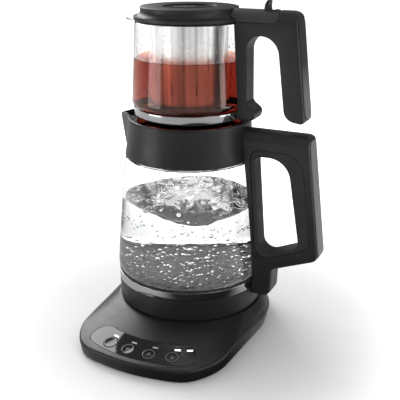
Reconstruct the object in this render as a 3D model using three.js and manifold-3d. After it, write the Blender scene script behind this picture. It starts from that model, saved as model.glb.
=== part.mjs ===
// Automatic tea maker: a glass kettle on a heated base, with a glass teapot standing in its collar.
// Lengths are in millimetres and angles in degrees. +Z is up, and the front faces -Y.
// While it is modelled, the kettle's axis is the Z axis and the base stands on Z = 0.
import * as THREE from 'three';
import { mergeVertices } from 'three/addons/utils/BufferGeometryUtils.js';
import Module from 'manifold-3d';

const wasm = await Module();
wasm.setup();

// Fits and cuts shared by every piece
const gap = 0.3;
const overrun = 6;
const reachAll = 80;

// Base: a plan outline of tangent arcs, and a section from the seat down to the skirt
const base = {
  seatHeight: 31.7,
  seatRadius: 82,
  seatFlat: 3,
  edgeHeight: 14.3,
  edgeRound: 3,
  skirtTop: 11.5,
  skirtBottom: 1.2,
  skirtDraft: 1.4,
  frontRadius: 145,
  cornerRadius: 65.2,
  cornerAngle: 18.6,
  rearRadius: 91.7,
  wall: 3,
  coverThickness: 3,
};
const slopePower = 1.2;
const slopeShares = [0, 0.2, 0.5, 0.8, 1];
const innerShares = [0, 0.35, 1];

const panel = {
  radius: 124,
  halfWidth: 13.5,
  startAngle: -25.5,
  endAngle: 30.5,
  thickness: 1.4,
};
const panelEndShares = [0.02, 0.2, 0.5];

const button = {
  ringRadius: 127.5,
  powerRadius: 7.75,
  otherRadius: 7,
  proud: 0.3,
  dish: 0.35,
  edge: 0.5,
  capDepth: 2.6,
  stemRadius: 1.8,
  travel: 0.8,
};
const buttons = [
  { name: 'power', angle: -14.9, radius: button.powerRadius },
  { name: 'warm', angle: -4.4, radius: button.otherRadius },
  { name: 'boil', angle: 6.5, radius: button.otherRadius },
  { name: 'brew', angle: 17.6, radius: button.otherRadius },
];

const light = {
  ringRadius: 117.8,
  length: 6,
  width: 1.6,
  proud: 0.1,
  boardGap: 0.6,
};
const lightAngles = [-15.4, -3.6, 8.3, 19.7, 25.8];

const board = {
  drop: 8.6,
  thickness: 1.6,
  innerRadius: 114,
  outerRadius: 133,
  startAngle: -20,
  endAngle: 27,
  postRadius: 2.6,
  postAngles: [-11, 5, 22],
};
const tact = {
  side: 6,
  height: 2.2,
  plungerRadius: 1.6,
  plungerHeight: 0.5,
};
const powerBoard = {
  height: 8,
  halfLength: 34,
  front: 38,
  rear: 74,
  postInset: 5,
};
const relay = {
  length: 20,
  depth: 15,
  height: 14,
  inset: 6,
};

const foot = {
  radius: 7,
  height: 2.4,
  pocket: 1.5,
  places: [[70, -62], [56, 52]],
};
const screw = {
  headRadius: 3.2,
  headHeight: 1.4,
  shankRadius: 1.5,
  length: 10,
  bossRadius: 4.6,
  places: [[58, -98], [68, 20]],
};
const gland = {
  height: 7.6,
  bore: 3.5,
  bodyRadius: 4.8,
  flangeRadius: 5.8,
  flangeThickness: 1.5,
  inside: 5.5,
};

// The connector post of the base, and the socket of the kettle that goes over it
const post = {
  radius: 17,
  height: 15.8,
  edge: 1,
  flangeRadius: 24,
  flangeThickness: 2.2,
  ringInner: 8.5,
  ringOuter: 11.2,
  ringDepth: 7,
  pinHole: 3.1,
  pinDepth: 8,
};
const socket = {
  clearance: 0.8,
  headroom: 1,
  wall: 2.2,
  roof: 1.6,
  flangeRadius: 26,
  flangeThickness: 1.6,
  pinRadius: 2.3,
  ringHalfWidth: 0.7,
};

// Kettle: levels are measured from the table
const kettle = {
  footBottom: 32,
  footTop: 55.8,
  footRadius: 80,
  footTopRadius: 80.7,
  footWall: 2.2,
  shadowStep: 1.2,
  floorHeight: 35,
  floorThickness: 2.2,
  standRadius: 62,
  standWidth: 3,
  plateBottom: 64.5,
  plateThickness: 1.4,
  plateRadius: 79.1,
  bandRadius: 81.2,
  bandTop: 65.4,
  bandTaper: 0.3,
  gasketThickness: 1.3,
  gasketInner: 74.8,
  gasketOuter: 80.4,
  glassRim: 79.4,
  glassEdge: 3.6,
  bellyRadius: 81.2,
  bellyHeight: 76,
  shoulderRadius: 70,
  shoulderHeight: 194.8,
  shoulderDrop: 1.3,
  bulge: 1.5,
  glassWall: 2.4,
  neckTop: 226,
  collarBottom: 196.7,
  collarRadius: 70.2,
  rimHeight: 236.7,
  rimRadius: 65.9,
  rimEdge: 0.5,
  waist: 1.75,
  collarWall: 2.4,
};
const glassBottom = kettle.plateBottom + kettle.plateThickness + 2 * gap + kettle.gasketThickness;

const element = {
  radius: 52,
  tube: 3.6,
  openAngle: 46,
};
const sensor = {
  radius: 3.2,
  reach: 6,
  tip: 1.4,
  flangeRadius: 6.5,
  flangeThickness: 1.4,
  tail: 6,
};
const seat = {
  inner: 52.5,
  outer: 63,
  thickness: 2.6,
  vents: 10,
  ventWidth: 3.4,
  ventInner: 54.6,
  ventOuter: 60.4,
};
const spout = {
  apexReach: 86.2,
  tipReach: 84.6,
  tipHeight: 232.4,
  lipReach: 82.8,
  lipHeight: 226.5,
  rootReach: 68,
  rootHeight: 201,
  inside: 56,
  halfWidth: 32.5,
  nose: 4,
  wall: 2.6,
};
const strainer = {
  reach: 61.8,
  thickness: 1.2,
  height: 7,
  halfWidth: 10.6,
  slots: 5,
  slotWidth: 1.8,
  slotPitch: 3.6,
  edge: 1.2,
};

// Teapot
const teapot = {
  floor: 3.2,
  baseRadius: 57.6,
  baseRound: 3.4,
  wall: 2.2,
  bandBottom: 240.9,
  bandTop: 248.7,
  bandRadius: 59.6,
  bandTaper: 0.6,
  bandWall: 0.9,
  bellyRadius: 61,
  bellyHeight: 255,
  rimRadius: 55.9,
  rimHeight: 335.8,
  rimEdge: 0.6,
  lipReach: 19,
  lipAngle: 26,
  lipStart: 316,
};
const teapotBottom = kettle.neckTop + gap + seat.thickness + gap;
const lipShares = [0, 0.35, 0.7];

const infuser = {
  radius: 40.4,
  footRadius: 39,
  bottom: 252,
  wall: 0.8,
  rimRadius: 44.6,
  ringInner: 41,
  ringOuter: 52.9,
  ringWall: 2,
  ringBottom: 329,
  flangeRadius: 55.4,
  flangeThickness: 1,
  tabRadius: 6.4,
  tabThickness: 1.8,
  tabLift: 1.3,
  holeRadius: 2.4,
  holeColumns: 10,
  holeRows: 2,
  holeStart: 272,
  holePitch: 24,
};
const tabAngles = [-90, 135];

// Lid
const lid = {
  topHeight: 350.4,
  topRadius: 50.6,
  topEdge: 0.6,
  waistRadius: 50.2,
  waistHeight: 347.4,
  flangeRadius: 57.2,
  flangeTop: 341,
  flangeEdge: 0.7,
  flangeBottom: 337.5,
  thickness: 2.2,
  skirtRadius: 48.5,
  skirtWall: 2,
  skirtBottom: 331.7,
  inlayRadius: 27.3,
  inlayDepth: 1.9,
  inlayThickness: 1,
  sealRadius: 50.1,
  sealBottom: 333,
  sealHeight: 2.6,
};
const hinge = {
  x: 93.5,
  z: 344.5,
  barrel: 6,
  running: 0.4,
  lugRadius: 6.1,
  lugHalfWidth: 5,
  lugFoot: 5,
  pinRadius: 1.5,
  pinHalfLength: 8.4,
};
const lever = {
  front: 82.4,
  rear: 88,
  shoulderHeight: 354.5,
  tipHeight: 359.8,
  tipFront: 85.4,
  tipRear: 88.4,
  halfWidth: 5.4,
  edge: 1,
};

// Handles: half widths across Y, and side views as [x, z, corner radius]
const handle = {
  halfWidth: 12.8,
  crown: 4.2,
  crownDepth: 8.5,
  holeRound: 3.4,
  holeDepth: 5,
  stripHalfWidth: 9,
  stripThickness: 1.6,
  stripProud: 0.5,
};
const kettleHandle = {
  ridge: 231.5,
  frame: [
    [58, 231.5, 0],
    [136.2, 231.5, 9],
    [152.6, 99.8, 9],
    [105.2, 81.6, 6],
    [98.6, 50.4, 8],
    [58, 50.4, 0],
  ],
  bay: [
    [74.2, 211.6, 10],
    [131, 211.6, 24],
    [143, 109.6, 9],
    [82.8, 84.6, 12],
  ],
  hole: [
    [78, 203.6, 8],
    [114.4, 203.6, 23],
    [130, 108.4, 9],
    [86.8, 90.2, 12],
  ],
  bar: [
    [100, 231.5, 9],
    [136.2, 231.5, 9],
    [152.6, 99.8, 9],
    [105.2, 81.6, 9],
  ],
  stripTop: 227.6,
  stripBottom: 99.4,
  stripFrom: 124,
};
const teapotHandle = {
  ridge: 350.4,
  armTop: 338.2,
  frame: [
    [46, 350.4, 0],
    [118.6, 350.4, 7],
    [133.4, 243.2, 9],
    [112.4, 243.2, 9],
    [102.2, 325.4, 21],
    [67.2, 325.4, 16],
    [68.6, 258, 6],
    [79.4, 250, 6],
    [76.6, 240.6, 5],
    [46, 240.6, 0],
  ],
  bar: [
    [99.1, 350.4, 9],
    [118.6, 350.4, 7],
    [133.4, 243.2, 9],
    [112.4, 243.2, 9],
  ],
  stripTop: 345.4,
  stripBottom: 246.4,
  stripFrom: 117.8,
};
const grip = {
  top: 308,
  bottom: 254,
  from: 98,
  to: 116,
  halfWidth: 8,
  thickness: 2.4,
  proud: 0.4,
};

// Facet counts
const facets = {
  base: 36,
  body: 30,
  inner: 16,
  button: 12,
  small: 8,
  curve: 3,
  corner: 3,
  bevel: 2,
  slope: 2,
};
const weld = 1e-4;

const finish = (color, roughness, metalness = 0, opacity = 1) => new THREE.MeshStandardMaterial({
  color,
  roughness,
  metalness,
  opacity,
  transparent: opacity < 1,
});
const plastic = finish(0x2b2b2c, 0.5);
const softPlastic = finish(0x262627, 0.75);
const glossPlastic = finish(0x0c0c0d, 0.12);
const rubber = finish(0x1a1a1a, 0.85);
const silicone = finish(0x3a3a3a, 0.6);
const glass = finish(0xf2f6f6, 0.05, 0, 0.3);
const steel = finish(0xb9bbbd, 0.25, 1);
const darkSteel = finish(0x6d6f72, 0.15, 1);
const lightPipe = finish(0xf4f7ff, 0.3);
const circuit = finish(0x1f5a35, 0.6);
const component = finish(0x20242a, 0.5);

// Solids

function radians(degrees) {
  return THREE.MathUtils.degToRad(degrees);
}

function signedVolume(position, index) {
  const [a, b, c] = [new THREE.Vector3(), new THREE.Vector3(), new THREE.Vector3()];
  let total = 0;
  for (let i = 0; i < index.length; i += 3) {
    a.fromArray(position, 3 * index[i]);
    b.fromArray(position, 3 * index[i + 1]);
    c.fromArray(position, 3 * index[i + 2]);
    total += a.dot(b.cross(c));
  }
  return total;
}

// A closed solid with merged corners and its faces pointing out
function solidOf(geometry) {
  const bare = geometry.clone();
  bare.deleteAttribute('normal');
  bare.deleteAttribute('uv');
  const merged = mergeVertices(bare, weld);
  const position = merged.attributes.position.array;
  const index = [];
  for (let i = 0; i < merged.index.count; i += 3) {
    const corners = [0, 1, 2].map((k) => merged.index.getX(i + k));
    if (new Set(corners).size === 3) {
      index.push(...corners);
    }
  }
  if (signedVolume(position, index) < 0) {
    index.reverse();
  }
  return new wasm.Manifold(new wasm.Mesh({
    numProp: 3,
    vertProperties: new Float32Array(position),
    triVerts: new Uint32Array(index),
  }));
}

function geometryOf(solid) {
  const { vertProperties, triVerts } = solid.getMesh();
  const geometry = new THREE.BufferGeometry();
  geometry.setAttribute('position', new THREE.BufferAttribute(new Float32Array(vertProperties), 3));
  geometry.setIndex(new THREE.BufferAttribute(new Uint32Array(triVerts), 1));
  geometry.computeVertexNormals();
  return geometry;
}

function join(first, ...others) {
  return others.reduce((result, other) => result.add(other), first);
}

function cut(first, ...others) {
  return others.reduce((result, other) => result.subtract(other), first);
}

function common(first, ...others) {
  return others.reduce((result, other) => result.intersect(other), first);
}

function moved(solid, matrix) {
  return solidOf(geometryOf(solid).applyMatrix4(matrix));
}

// A solid of revolution about Z, from [radius, height] points that start and end on the axis or form a loop
function revolve(profile, count = facets.body, shapeGeometry = (geometry) => geometry) {
  const points = profile.map(([radius, height]) => new THREE.Vector2(radius, height));
  if (profile[0][0] > 0) {
    points.push(points[0].clone());
  }
  const geometry = new THREE.LatheGeometry(points, count);
  geometry.rotateX(Math.PI / 2);
  return solidOf(shapeGeometry(geometry));
}

// A closed shape whose corners are rounded by arcs, from [x, y, radius] points
function roundedShape(corners) {
  const shape = new THREE.Shape();
  corners.forEach(([x, y, radius], i) => {
    const here = new THREE.Vector2(x, y);
    if (radius === 0) {
      if (i === 0) {
        shape.moveTo(x, y);
      } else {
        shape.lineTo(x, y);
      }
      return;
    }
    const [beforeX, beforeY] = corners.at(i - 1);
    const [afterX, afterY] = corners[(i + 1) % corners.length];
    const before = new THREE.Vector2(beforeX, beforeY).sub(here).normalize();
    const after = new THREE.Vector2(afterX, afterY).sub(here).normalize();
    const half = Math.acos(before.dot(after)) / 2;
    const reach = radius / Math.tan(half);
    const centre = before.clone().add(after).setLength(radius / Math.sin(half)).add(here);
    const start = before.clone().multiplyScalar(reach).add(here);
    const end = after.clone().multiplyScalar(reach).add(here);
    if (i === 0) {
      shape.moveTo(start.x, start.y);
    } else {
      shape.lineTo(start.x, start.y);
    }
    const [first, last] = [start, end].map((point) => point.sub(centre).angle());
    shape.absarc(centre.x, centre.y, radius, first, last, before.cross(after) > 0);
  });
  shape.closePath();
  return shape;
}

function extrude(shape, length, options = {}) {
  return new THREE.ExtrudeGeometry(shape, {
    depth: length,
    bevelEnabled: false,
    curveSegments: facets.corner,
    ...options,
  });
}

// Extrudes a side view (x, z) across Y. A positive inset rounds the edges, and a negative one flares them
function acrossY(shape, halfWidth, { inset = 0, depth = 0, grow = 0 } = {}) {
  const geometry = extrude(shape, 2 * (halfWidth - depth), {
    bevelEnabled: true,
    bevelThickness: depth,
    bevelSize: inset,
    bevelOffset: grow - inset,
    bevelSegments: depth > 0 ? facets.bevel : 0,
  });
  geometry.translate(0, 0, depth - halfWidth);
  geometry.rotateX(Math.PI / 2);
  return solidOf(geometry);
}

// Extrudes a front view (y, z) along X
function alongX(shape, from, to) {
  const turn = new THREE.Matrix4().makeBasis(
    new THREE.Vector3(0, 1, 0),
    new THREE.Vector3(0, 0, 1),
    new THREE.Vector3(1, 0, 0),
  );
  return solidOf(extrude(shape, to - from).translate(0, 0, from).applyMatrix4(turn));
}

// Extrudes a plan view (x, y) upwards
function upwards(shape, from, to) {
  return solidOf(extrude(shape, to - from).translate(0, 0, from));
}

function block(lows, highs) {
  const size = highs.map((high, i) => high - lows[i]);
  const middle = highs.map((high, i) => (high + lows[i]) / 2);
  return solidOf(new THREE.BoxGeometry(...size).translate(...middle));
}

function column(radius, [x, y], from, to, count = facets.small) {
  const geometry = new THREE.CylinderGeometry(radius, radius, to - from, count);
  return solidOf(geometry.rotateX(Math.PI / 2).translate(x, y, (from + to) / 2));
}

function rodAcrossY(radius, halfLength, x, z, count = facets.inner) {
  const geometry = new THREE.CylinderGeometry(radius, radius, 2 * halfLength, count);
  return solidOf(geometry.translate(x, 0, z));
}

// Joins closed loops of points, each with the same count, into one solid
function loft(sections, endsMeet) {
  const count = sections[0].length;
  const index = [];
  const spans = endsMeet ? sections.length : sections.length - 1;
  for (let s = 0; s < spans; s += 1) {
    const here = s * count;
    const next = ((s + 1) % sections.length) * count;
    for (let i = 0; i < count; i += 1) {
      const j = (i + 1) % count;
      index.push(here + i, here + j, next + j);
      index.push(here + i, next + j, next + i);
    }
  }
  if (!endsMeet) {
    const last = (sections.length - 1) * count;
    for (let i = 1; i < count - 1; i += 1) {
      index.push(0, i + 1, i);
      index.push(last, last + i, last + i + 1);
    }
  }
  const geometry = new THREE.BufferGeometry();
  const position = sections.flat().flatMap((point) => point.toArray());
  geometry.setAttribute('position', new THREE.Float32BufferAttribute(position, 3));
  geometry.setIndex(index);
  return solidOf(geometry);
}

// A point by its angle from the front, positive towards +X
function polar(radius, angle, height) {
  const turn = radians(angle);
  return new THREE.Vector3(radius * Math.sin(turn), -radius * Math.cos(turn), height);
}

function bothSides(places) {
  return places.flatMap(([x, y]) => [[x, y], [-x, y]]);
}

// Base

// Distance from the kettle's axis to the base's outline, at an angle from the front
function outlineRadius(angle) {
  const turn = radians(Math.abs(THREE.MathUtils.euclideanModulo(angle + 180, 360) - 180));
  const tangent = radians(base.cornerAngle);
  if (turn <= tangent) {
    return base.frontRadius;
  }
  const reach = base.frontRadius - base.cornerRadius;
  const sideNormal = tangent + Math.acos((base.rearRadius - base.cornerRadius) / reach);
  const cornerEnd = Math.atan2(
    reach * Math.sin(tangent) + base.cornerRadius * Math.sin(sideNormal),
    reach * Math.cos(tangent) + base.cornerRadius * Math.cos(sideNormal),
  );
  if (turn <= cornerEnd) {
    const along = reach * Math.cos(turn - tangent);
    return along + Math.sqrt(base.cornerRadius ** 2 - reach ** 2 + along ** 2);
  }
  return turn < sideNormal ? base.rearRadius / Math.cos(sideNormal - turn) : base.rearRadius;
}

// Height of the base's top at a radius and an angle
function slopeHeight(radius, angle) {
  const edge = outlineRadius(angle) - base.edgeRound;
  const share = THREE.MathUtils.clamp((edge - radius) / (edge - base.seatRadius), 0, 1);
  return base.edgeHeight + (base.seatHeight - base.edgeHeight) * share ** slopePower;
}

function slopeTilt(radius, angle) {
  const half = base.edgeRound;
  return Math.atan((slopeHeight(radius - half, angle) - slopeHeight(radius + half, angle)) / (2 * half));
}

function baseRing(radiusAt, heightAt) {
  return Array.from({ length: facets.base }, (_, i) => {
    const angle = (360 * i) / facets.base;
    const radius = radiusAt(angle);
    return polar(radius, angle, heightAt(radius, angle));
  });
}

function slopeRings(shares, inset) {
  return shares.map((share) => baseRing(
    (angle) => THREE.MathUtils.lerp(base.seatRadius, outlineRadius(angle) - base.edgeRound, share) - inset,
    (radius, angle) => slopeHeight(radius + inset, angle) - inset,
  ));
}

function baseShell() {
  const skirt = (inset, height) => baseRing((angle) => outlineRadius(angle) - inset, () => height);
  const holeRing = (height) => baseRing(() => post.radius + gap, () => height);
  return loft([
    holeRing(base.seatHeight),
    baseRing(() => base.seatRadius - base.seatFlat, () => base.seatHeight),
    ...slopeRings(slopeShares, 0),
    skirt(base.edgeRound / 4, base.edgeHeight - base.edgeRound / 3),
    skirt(0, base.skirtTop),
    skirt(base.skirtDraft, base.skirtBottom),
    skirt(base.skirtDraft + base.wall, base.skirtBottom),
    skirt(base.wall, base.skirtTop - base.wall),
    ...slopeRings(innerShares, base.wall).reverse(),
    holeRing(base.seatHeight - base.wall),
  ], true);
}

// An arc with round ends in plan, whose faces follow the slope of the base
function panelSlab(grow, above, below) {
  const half = panel.halfWidth + grow;
  const degrees = (length) => THREE.MathUtils.radToDeg(length / panel.radius);
  const first = panel.startAngle - degrees(grow);
  const last = panel.endAngle + degrees(grow);
  const roundEnd = panelEndShares.map((share) => degrees(half) * share);
  const straight = Array.from({ length: facets.small + 1 }, (_, i) => THREE.MathUtils.lerp(
    first + degrees(half),
    last - degrees(half),
    i / facets.small,
  ));
  const angles = [
    ...roundEnd.map((angle) => first + angle),
    ...straight,
    ...roundEnd.map((angle) => last - angle).reverse(),
  ];
  return loft(angles.map((angle) => {
    const fromEnd = Math.min(angle - first, last - angle, degrees(half)) / degrees(half);
    const reach = half * Math.sqrt(1 - (1 - fromEnd) ** 2);
    const radii = [-1, 0, 1].map((side) => panel.radius + side * reach);
    const face = (lift) => radii.map((radius) => polar(radius, angle, slopeHeight(radius, angle) + lift));
    return [...face(above), ...face(-below).reverse()];
  }), false);
}

// The frame of a place on the slope: its Z axis stands square to the surface
function slopeFrame(radius, angle) {
  const place = polar(radius, angle, slopeHeight(radius, angle));
  return new THREE.Matrix4().makeTranslation(place.x, place.y, place.z)
    .multiply(new THREE.Matrix4().makeRotationZ(radians(angle)))
    .multiply(new THREE.Matrix4().makeRotationX(slopeTilt(radius, angle)));
}

const boardFrame = slopeFrame(button.ringRadius, 0)
  .multiply(new THREE.Matrix4().makeTranslation(0, 0, -board.drop));

// How far the control board lies below a place on the slope, square to the surface there
function depthToBoard(radius, angle) {
  const frame = slopeFrame(radius, angle);
  const start = new THREE.Vector3().setFromMatrixPosition(frame);
  const down = new THREE.Vector3().setFromMatrixColumn(frame, 2).negate();
  const normal = new THREE.Vector3().setFromMatrixColumn(boardFrame, 2);
  const origin = new THREE.Vector3().setFromMatrixPosition(boardFrame);
  return origin.sub(start).dot(normal) / down.dot(normal);
}

function onSlope(solid, radius, angle) {
  return moved(solid, slopeFrame(radius, angle));
}

function buttonBore({ angle, radius }) {
  const bore = column(radius + gap, [0, 0], -base.wall - overrun, overrun, facets.button);
  return onSlope(bore, button.ringRadius, angle);
}

function lightBar(grow, from, to, angle) {
  const halfLength = light.length / 2 + grow;
  const halfWidth = light.width / 2 + grow;
  const shape = roundedShape([
    [-halfLength, -halfWidth, halfWidth / 2],
    [halfLength, -halfWidth, halfWidth / 2],
    [halfLength, halfWidth, halfWidth / 2],
    [-halfLength, halfWidth, halfWidth / 2],
  ]);
  const bar = solidOf(extrude(shape, to - from, { curveSegments: 1 }).translate(0, 0, from));
  return onSlope(bar, light.ringRadius, angle);
}

function panelOpenings() {
  const slots = lightAngles.map((angle) => lightBar(gap, -base.wall - overrun, overrun, angle));
  return [...buttons.map(buttonBore), ...slots];
}

function cordHole() {
  return column(gland.bodyRadius + gap, [0, 0], -overrun, overrun)
    .rotate([90, 0, 0])
    .translate([0, base.rearRadius, gland.height]);
}

function baseHousing() {
  const coverTop = base.skirtBottom + base.coverThickness;
  const bosses = bothSides(screw.places).map(([x, y]) => {
    const angle = THREE.MathUtils.radToDeg(Math.atan2(x, -y));
    const radius = Math.hypot(x, y) + screw.bossRadius;
    const top = slopeHeight(radius, angle) - base.wall / 2;
    return column(screw.bossRadius, [x, y], coverTop + gap, top);
  });
  const pilots = bothSides(screw.places).map((place) => column(
    screw.shankRadius + gap,
    place,
    coverTop - overrun,
    base.skirtBottom + screw.headHeight + screw.length + gap,
  ));
  const recess = panelSlab(gap, overrun, panel.thickness + gap);
  return cut(join(baseShell(), ...bosses), ...pilots, cordHole(), recess, ...panelOpenings());
}

function bottomCover() {
  const top = base.skirtBottom + base.coverThickness;
  const rim = (height) => baseRing(
    (angle) => outlineRadius(angle) - base.skirtDraft - base.wall - gap,
    () => height,
  );
  const plate = loft([rim(base.skirtBottom), rim(top)], false);
  const boardRadius = (board.innerRadius + board.outerRadius) / 2;
  const boardPosts = board.postAngles.map((angle) => {
    const place = polar(boardRadius, angle, 0);
    return column(board.postRadius, [place.x, place.y], base.skirtBottom, base.seatHeight);
  });
  const boardRoom = moved(
    block([-reachAll, -reachAll, -board.thickness - gap], [reachAll, reachAll, reachAll]),
    boardFrame,
  );
  const powerPosts = bothSides([
    [powerBoard.halfLength - powerBoard.postInset, powerBoard.front + powerBoard.postInset],
    [powerBoard.halfLength - powerBoard.postInset, powerBoard.rear - powerBoard.postInset],
  ]).map((place) => column(board.postRadius, place, base.skirtBottom, powerBoard.height - gap));
  const footPockets = bothSides(foot.places).map((place) => column(
    foot.radius + gap,
    place,
    -overrun,
    base.skirtBottom + foot.pocket,
  ));
  const screwPockets = bothSides(screw.places).flatMap((place) => [
    column(screw.headRadius + gap, place, -overrun, base.skirtBottom + screw.headHeight + gap),
    column(screw.shankRadius + gap, place, -overrun, top + overrun),
  ]);
  const cover = join(plate, ...boardPosts.map((rod) => cut(rod, boardRoom)), ...powerPosts);
  return cut(cover, cordHole(), ...footPockets, ...screwPockets);
}

function coverScrew(place) {
  const headTop = base.skirtBottom + screw.headHeight;
  return join(
    column(screw.headRadius, place, base.skirtBottom, headTop),
    column(screw.shankRadius, place, base.skirtBottom, headTop + screw.length),
  );
}

function baseFoot(place) {
  return column(foot.radius, place, 0, foot.height);
}

function controlBoard() {
  const arc = new THREE.Shape();
  const ends = [board.startAngle, board.endAngle].map((angle) => radians(angle - 90));
  arc.absarc(0, 0, board.outerRadius, ends[0], ends[1], false);
  arc.absarc(0, 0, board.innerRadius, ends[1], ends[0], true);
  const slab = moved(
    block([-reachAll, -reachAll, -board.thickness], [reachAll, reachAll, 0]),
    boardFrame,
  );
  return common(upwards(arc, 0, base.seatHeight), slab);
}

function tactSwitch({ angle }) {
  const frame = slopeFrame(button.ringRadius, angle);
  const reach = depthToBoard(button.ringRadius, angle);
  const spot = new THREE.Vector3(0, 0, -reach).applyMatrix4(frame);
  const local = spot.applyMatrix4(boardFrame.clone().invert());
  const half = tact.side / 2;
  const body = join(
    block([-half, -half, gap], [half, half, gap + tact.height]),
    column(tact.plungerRadius, [0, 0], gap, gap + tact.height + tact.plungerHeight),
  );
  const place = boardFrame.clone().multiply(new THREE.Matrix4().makeTranslation(local.x, local.y, 0));
  return moved(body, place);
}

function pushButton({ angle, radius }) {
  const used = gap + tact.height + tact.plungerHeight + button.travel + gap;
  const stemEnd = -depthToBoard(button.ringRadius, angle) + used;
  const cap = revolve([
    [0, button.proud - button.dish],
    [radius - 2 * button.edge, button.proud],
    [radius - button.edge, button.proud],
    [radius, button.proud - button.edge],
    [radius, -button.capDepth],
    [button.stemRadius, -button.capDepth],
    [button.stemRadius, stemEnd],
    [0, stemEnd],
  ], facets.button);
  return onSlope(cap, button.ringRadius, angle);
}

function lightPipeAt(angle) {
  return lightBar(0, light.boardGap - depthToBoard(light.ringRadius, angle), light.proud, angle);
}

function powerBoardPlate() {
  return block(
    [-powerBoard.halfLength, powerBoard.front, powerBoard.height],
    [powerBoard.halfLength, powerBoard.rear, powerBoard.height + board.thickness],
  );
}

function relayBlock() {
  const floor = powerBoard.height + board.thickness + gap;
  const right = powerBoard.halfLength - relay.inset;
  const rear = powerBoard.rear - relay.inset;
  return block([right - relay.length, rear - relay.depth, floor], [right, rear, floor + relay.height]);
}

function connectorPost() {
  const top = base.seatHeight + post.height;
  const flangeTop = base.seatHeight - base.wall - gap;
  const flangeBottom = flangeTop - post.flangeThickness;
  return revolve([
    [0, top - post.pinDepth],
    [post.pinHole, top - post.pinDepth],
    [post.pinHole, top],
    [post.ringInner, top],
    [post.ringInner, top - post.ringDepth],
    [post.ringOuter, top - post.ringDepth],
    [post.ringOuter, top],
    [post.radius - post.edge, top],
    [post.radius, top - post.edge],
    [post.radius, flangeTop],
    [post.flangeRadius, flangeTop],
    [post.flangeRadius, flangeBottom],
    [0, flangeBottom],
  ], facets.inner);
}

function cordGland() {
  return revolve([
    [gland.bore, -gland.inside],
    [gland.bodyRadius, -gland.inside],
    [gland.bodyRadius, gap],
    [gland.flangeRadius, gap],
    [gland.flangeRadius, gap + gland.flangeThickness],
    [gland.bore, gap + gland.flangeThickness],
  ], facets.small).rotate([-90, 0, 0]).translate([0, base.rearRadius, gland.height]);
}

// Kettle

function kettleFoot() {
  const { footBottom, footTop, footRadius, footTopRadius, footWall, shadowStep, floorHeight } = kettle;
  const floorTop = floorHeight + kettle.floorThickness;
  const collar = kettle.plateRadius;
  const hole = post.radius + socket.clearance + socket.wall + gap;
  return revolve([
    [footRadius - shadowStep, footBottom],
    [footRadius - shadowStep, footBottom + shadowStep],
    [footRadius, footBottom + shadowStep],
    [footTopRadius, footTop],
    [collar, footTop],
    [collar, kettle.plateBottom - gap],
    [collar - footWall, kettle.plateBottom - gap],
    [collar - footWall, floorTop],
    [hole, floorTop],
    [hole, floorHeight],
    [kettle.standRadius, floorHeight],
    [kettle.standRadius, footBottom],
    [kettle.standRadius + kettle.standWidth, footBottom],
    [kettle.standRadius + kettle.standWidth, floorHeight],
    [collar - footWall, floorHeight],
    [collar - footWall, footBottom],
  ]);
}

function metalBand() {
  const inner = kettle.plateRadius + gap;
  const bottom = kettle.footTop + gap;
  return revolve([
    [inner, bottom],
    [kettle.bandRadius - kettle.bandTaper, bottom],
    [kettle.bandRadius, kettle.bandTop],
    [inner, kettle.bandTop],
  ]);
}

function heatingPlate() {
  const hole = sensor.radius + gap;
  const top = kettle.plateBottom + kettle.plateThickness;
  return revolve([
    [hole, kettle.plateBottom],
    [kettle.plateRadius, kettle.plateBottom],
    [kettle.plateRadius, top],
    [hole, top],
  ]);
}

function plateGasket() {
  const bottom = kettle.plateBottom + kettle.plateThickness + gap;
  return revolve([
    [kettle.gasketInner, bottom],
    [kettle.gasketOuter, bottom],
    [kettle.gasketOuter, bottom + kettle.gasketThickness],
    [kettle.gasketInner, bottom + kettle.gasketThickness],
  ]);
}

function heatingElement() {
  const height = kettle.plateBottom - gap - element.tube;
  const first = radians(90 + element.openAngle / 2);
  const last = first + 2 * Math.PI - radians(element.openAngle);
  class Ring extends THREE.Curve {
    getPoint(share, target = new THREE.Vector3()) {
      const turn = THREE.MathUtils.lerp(first, last, share);
      return target.set(element.radius * Math.cos(turn), element.radius * Math.sin(turn), height);
    }
  }
  const section = new THREE.Shape();
  const sides = 6;
  for (let i = 0; i < sides; i += 1) {
    const turn = (2 * Math.PI * i) / sides;
    const point = [element.tube * Math.cos(turn), element.tube * Math.sin(turn)];
    if (i === 0) {
      section.moveTo(...point);
    } else {
      section.lineTo(...point);
    }
  }
  return solidOf(new THREE.ExtrudeGeometry(section, { extrudePath: new Ring(), steps: facets.inner }));
}

function temperatureSensor() {
  const top = kettle.plateBottom + kettle.plateThickness + sensor.reach;
  const flangeTop = kettle.plateBottom - gap;
  return revolve([
    [0, top],
    [sensor.radius - sensor.tip, top],
    [sensor.radius, top - sensor.tip],
    [sensor.radius, flangeTop],
    [sensor.flangeRadius, flangeTop],
    [sensor.flangeRadius, flangeTop - sensor.flangeThickness],
    [sensor.radius, flangeTop - sensor.flangeThickness],
    [sensor.radius, flangeTop - sensor.tail],
    [0, flangeTop - sensor.tail],
  ], facets.small);
}

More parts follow.
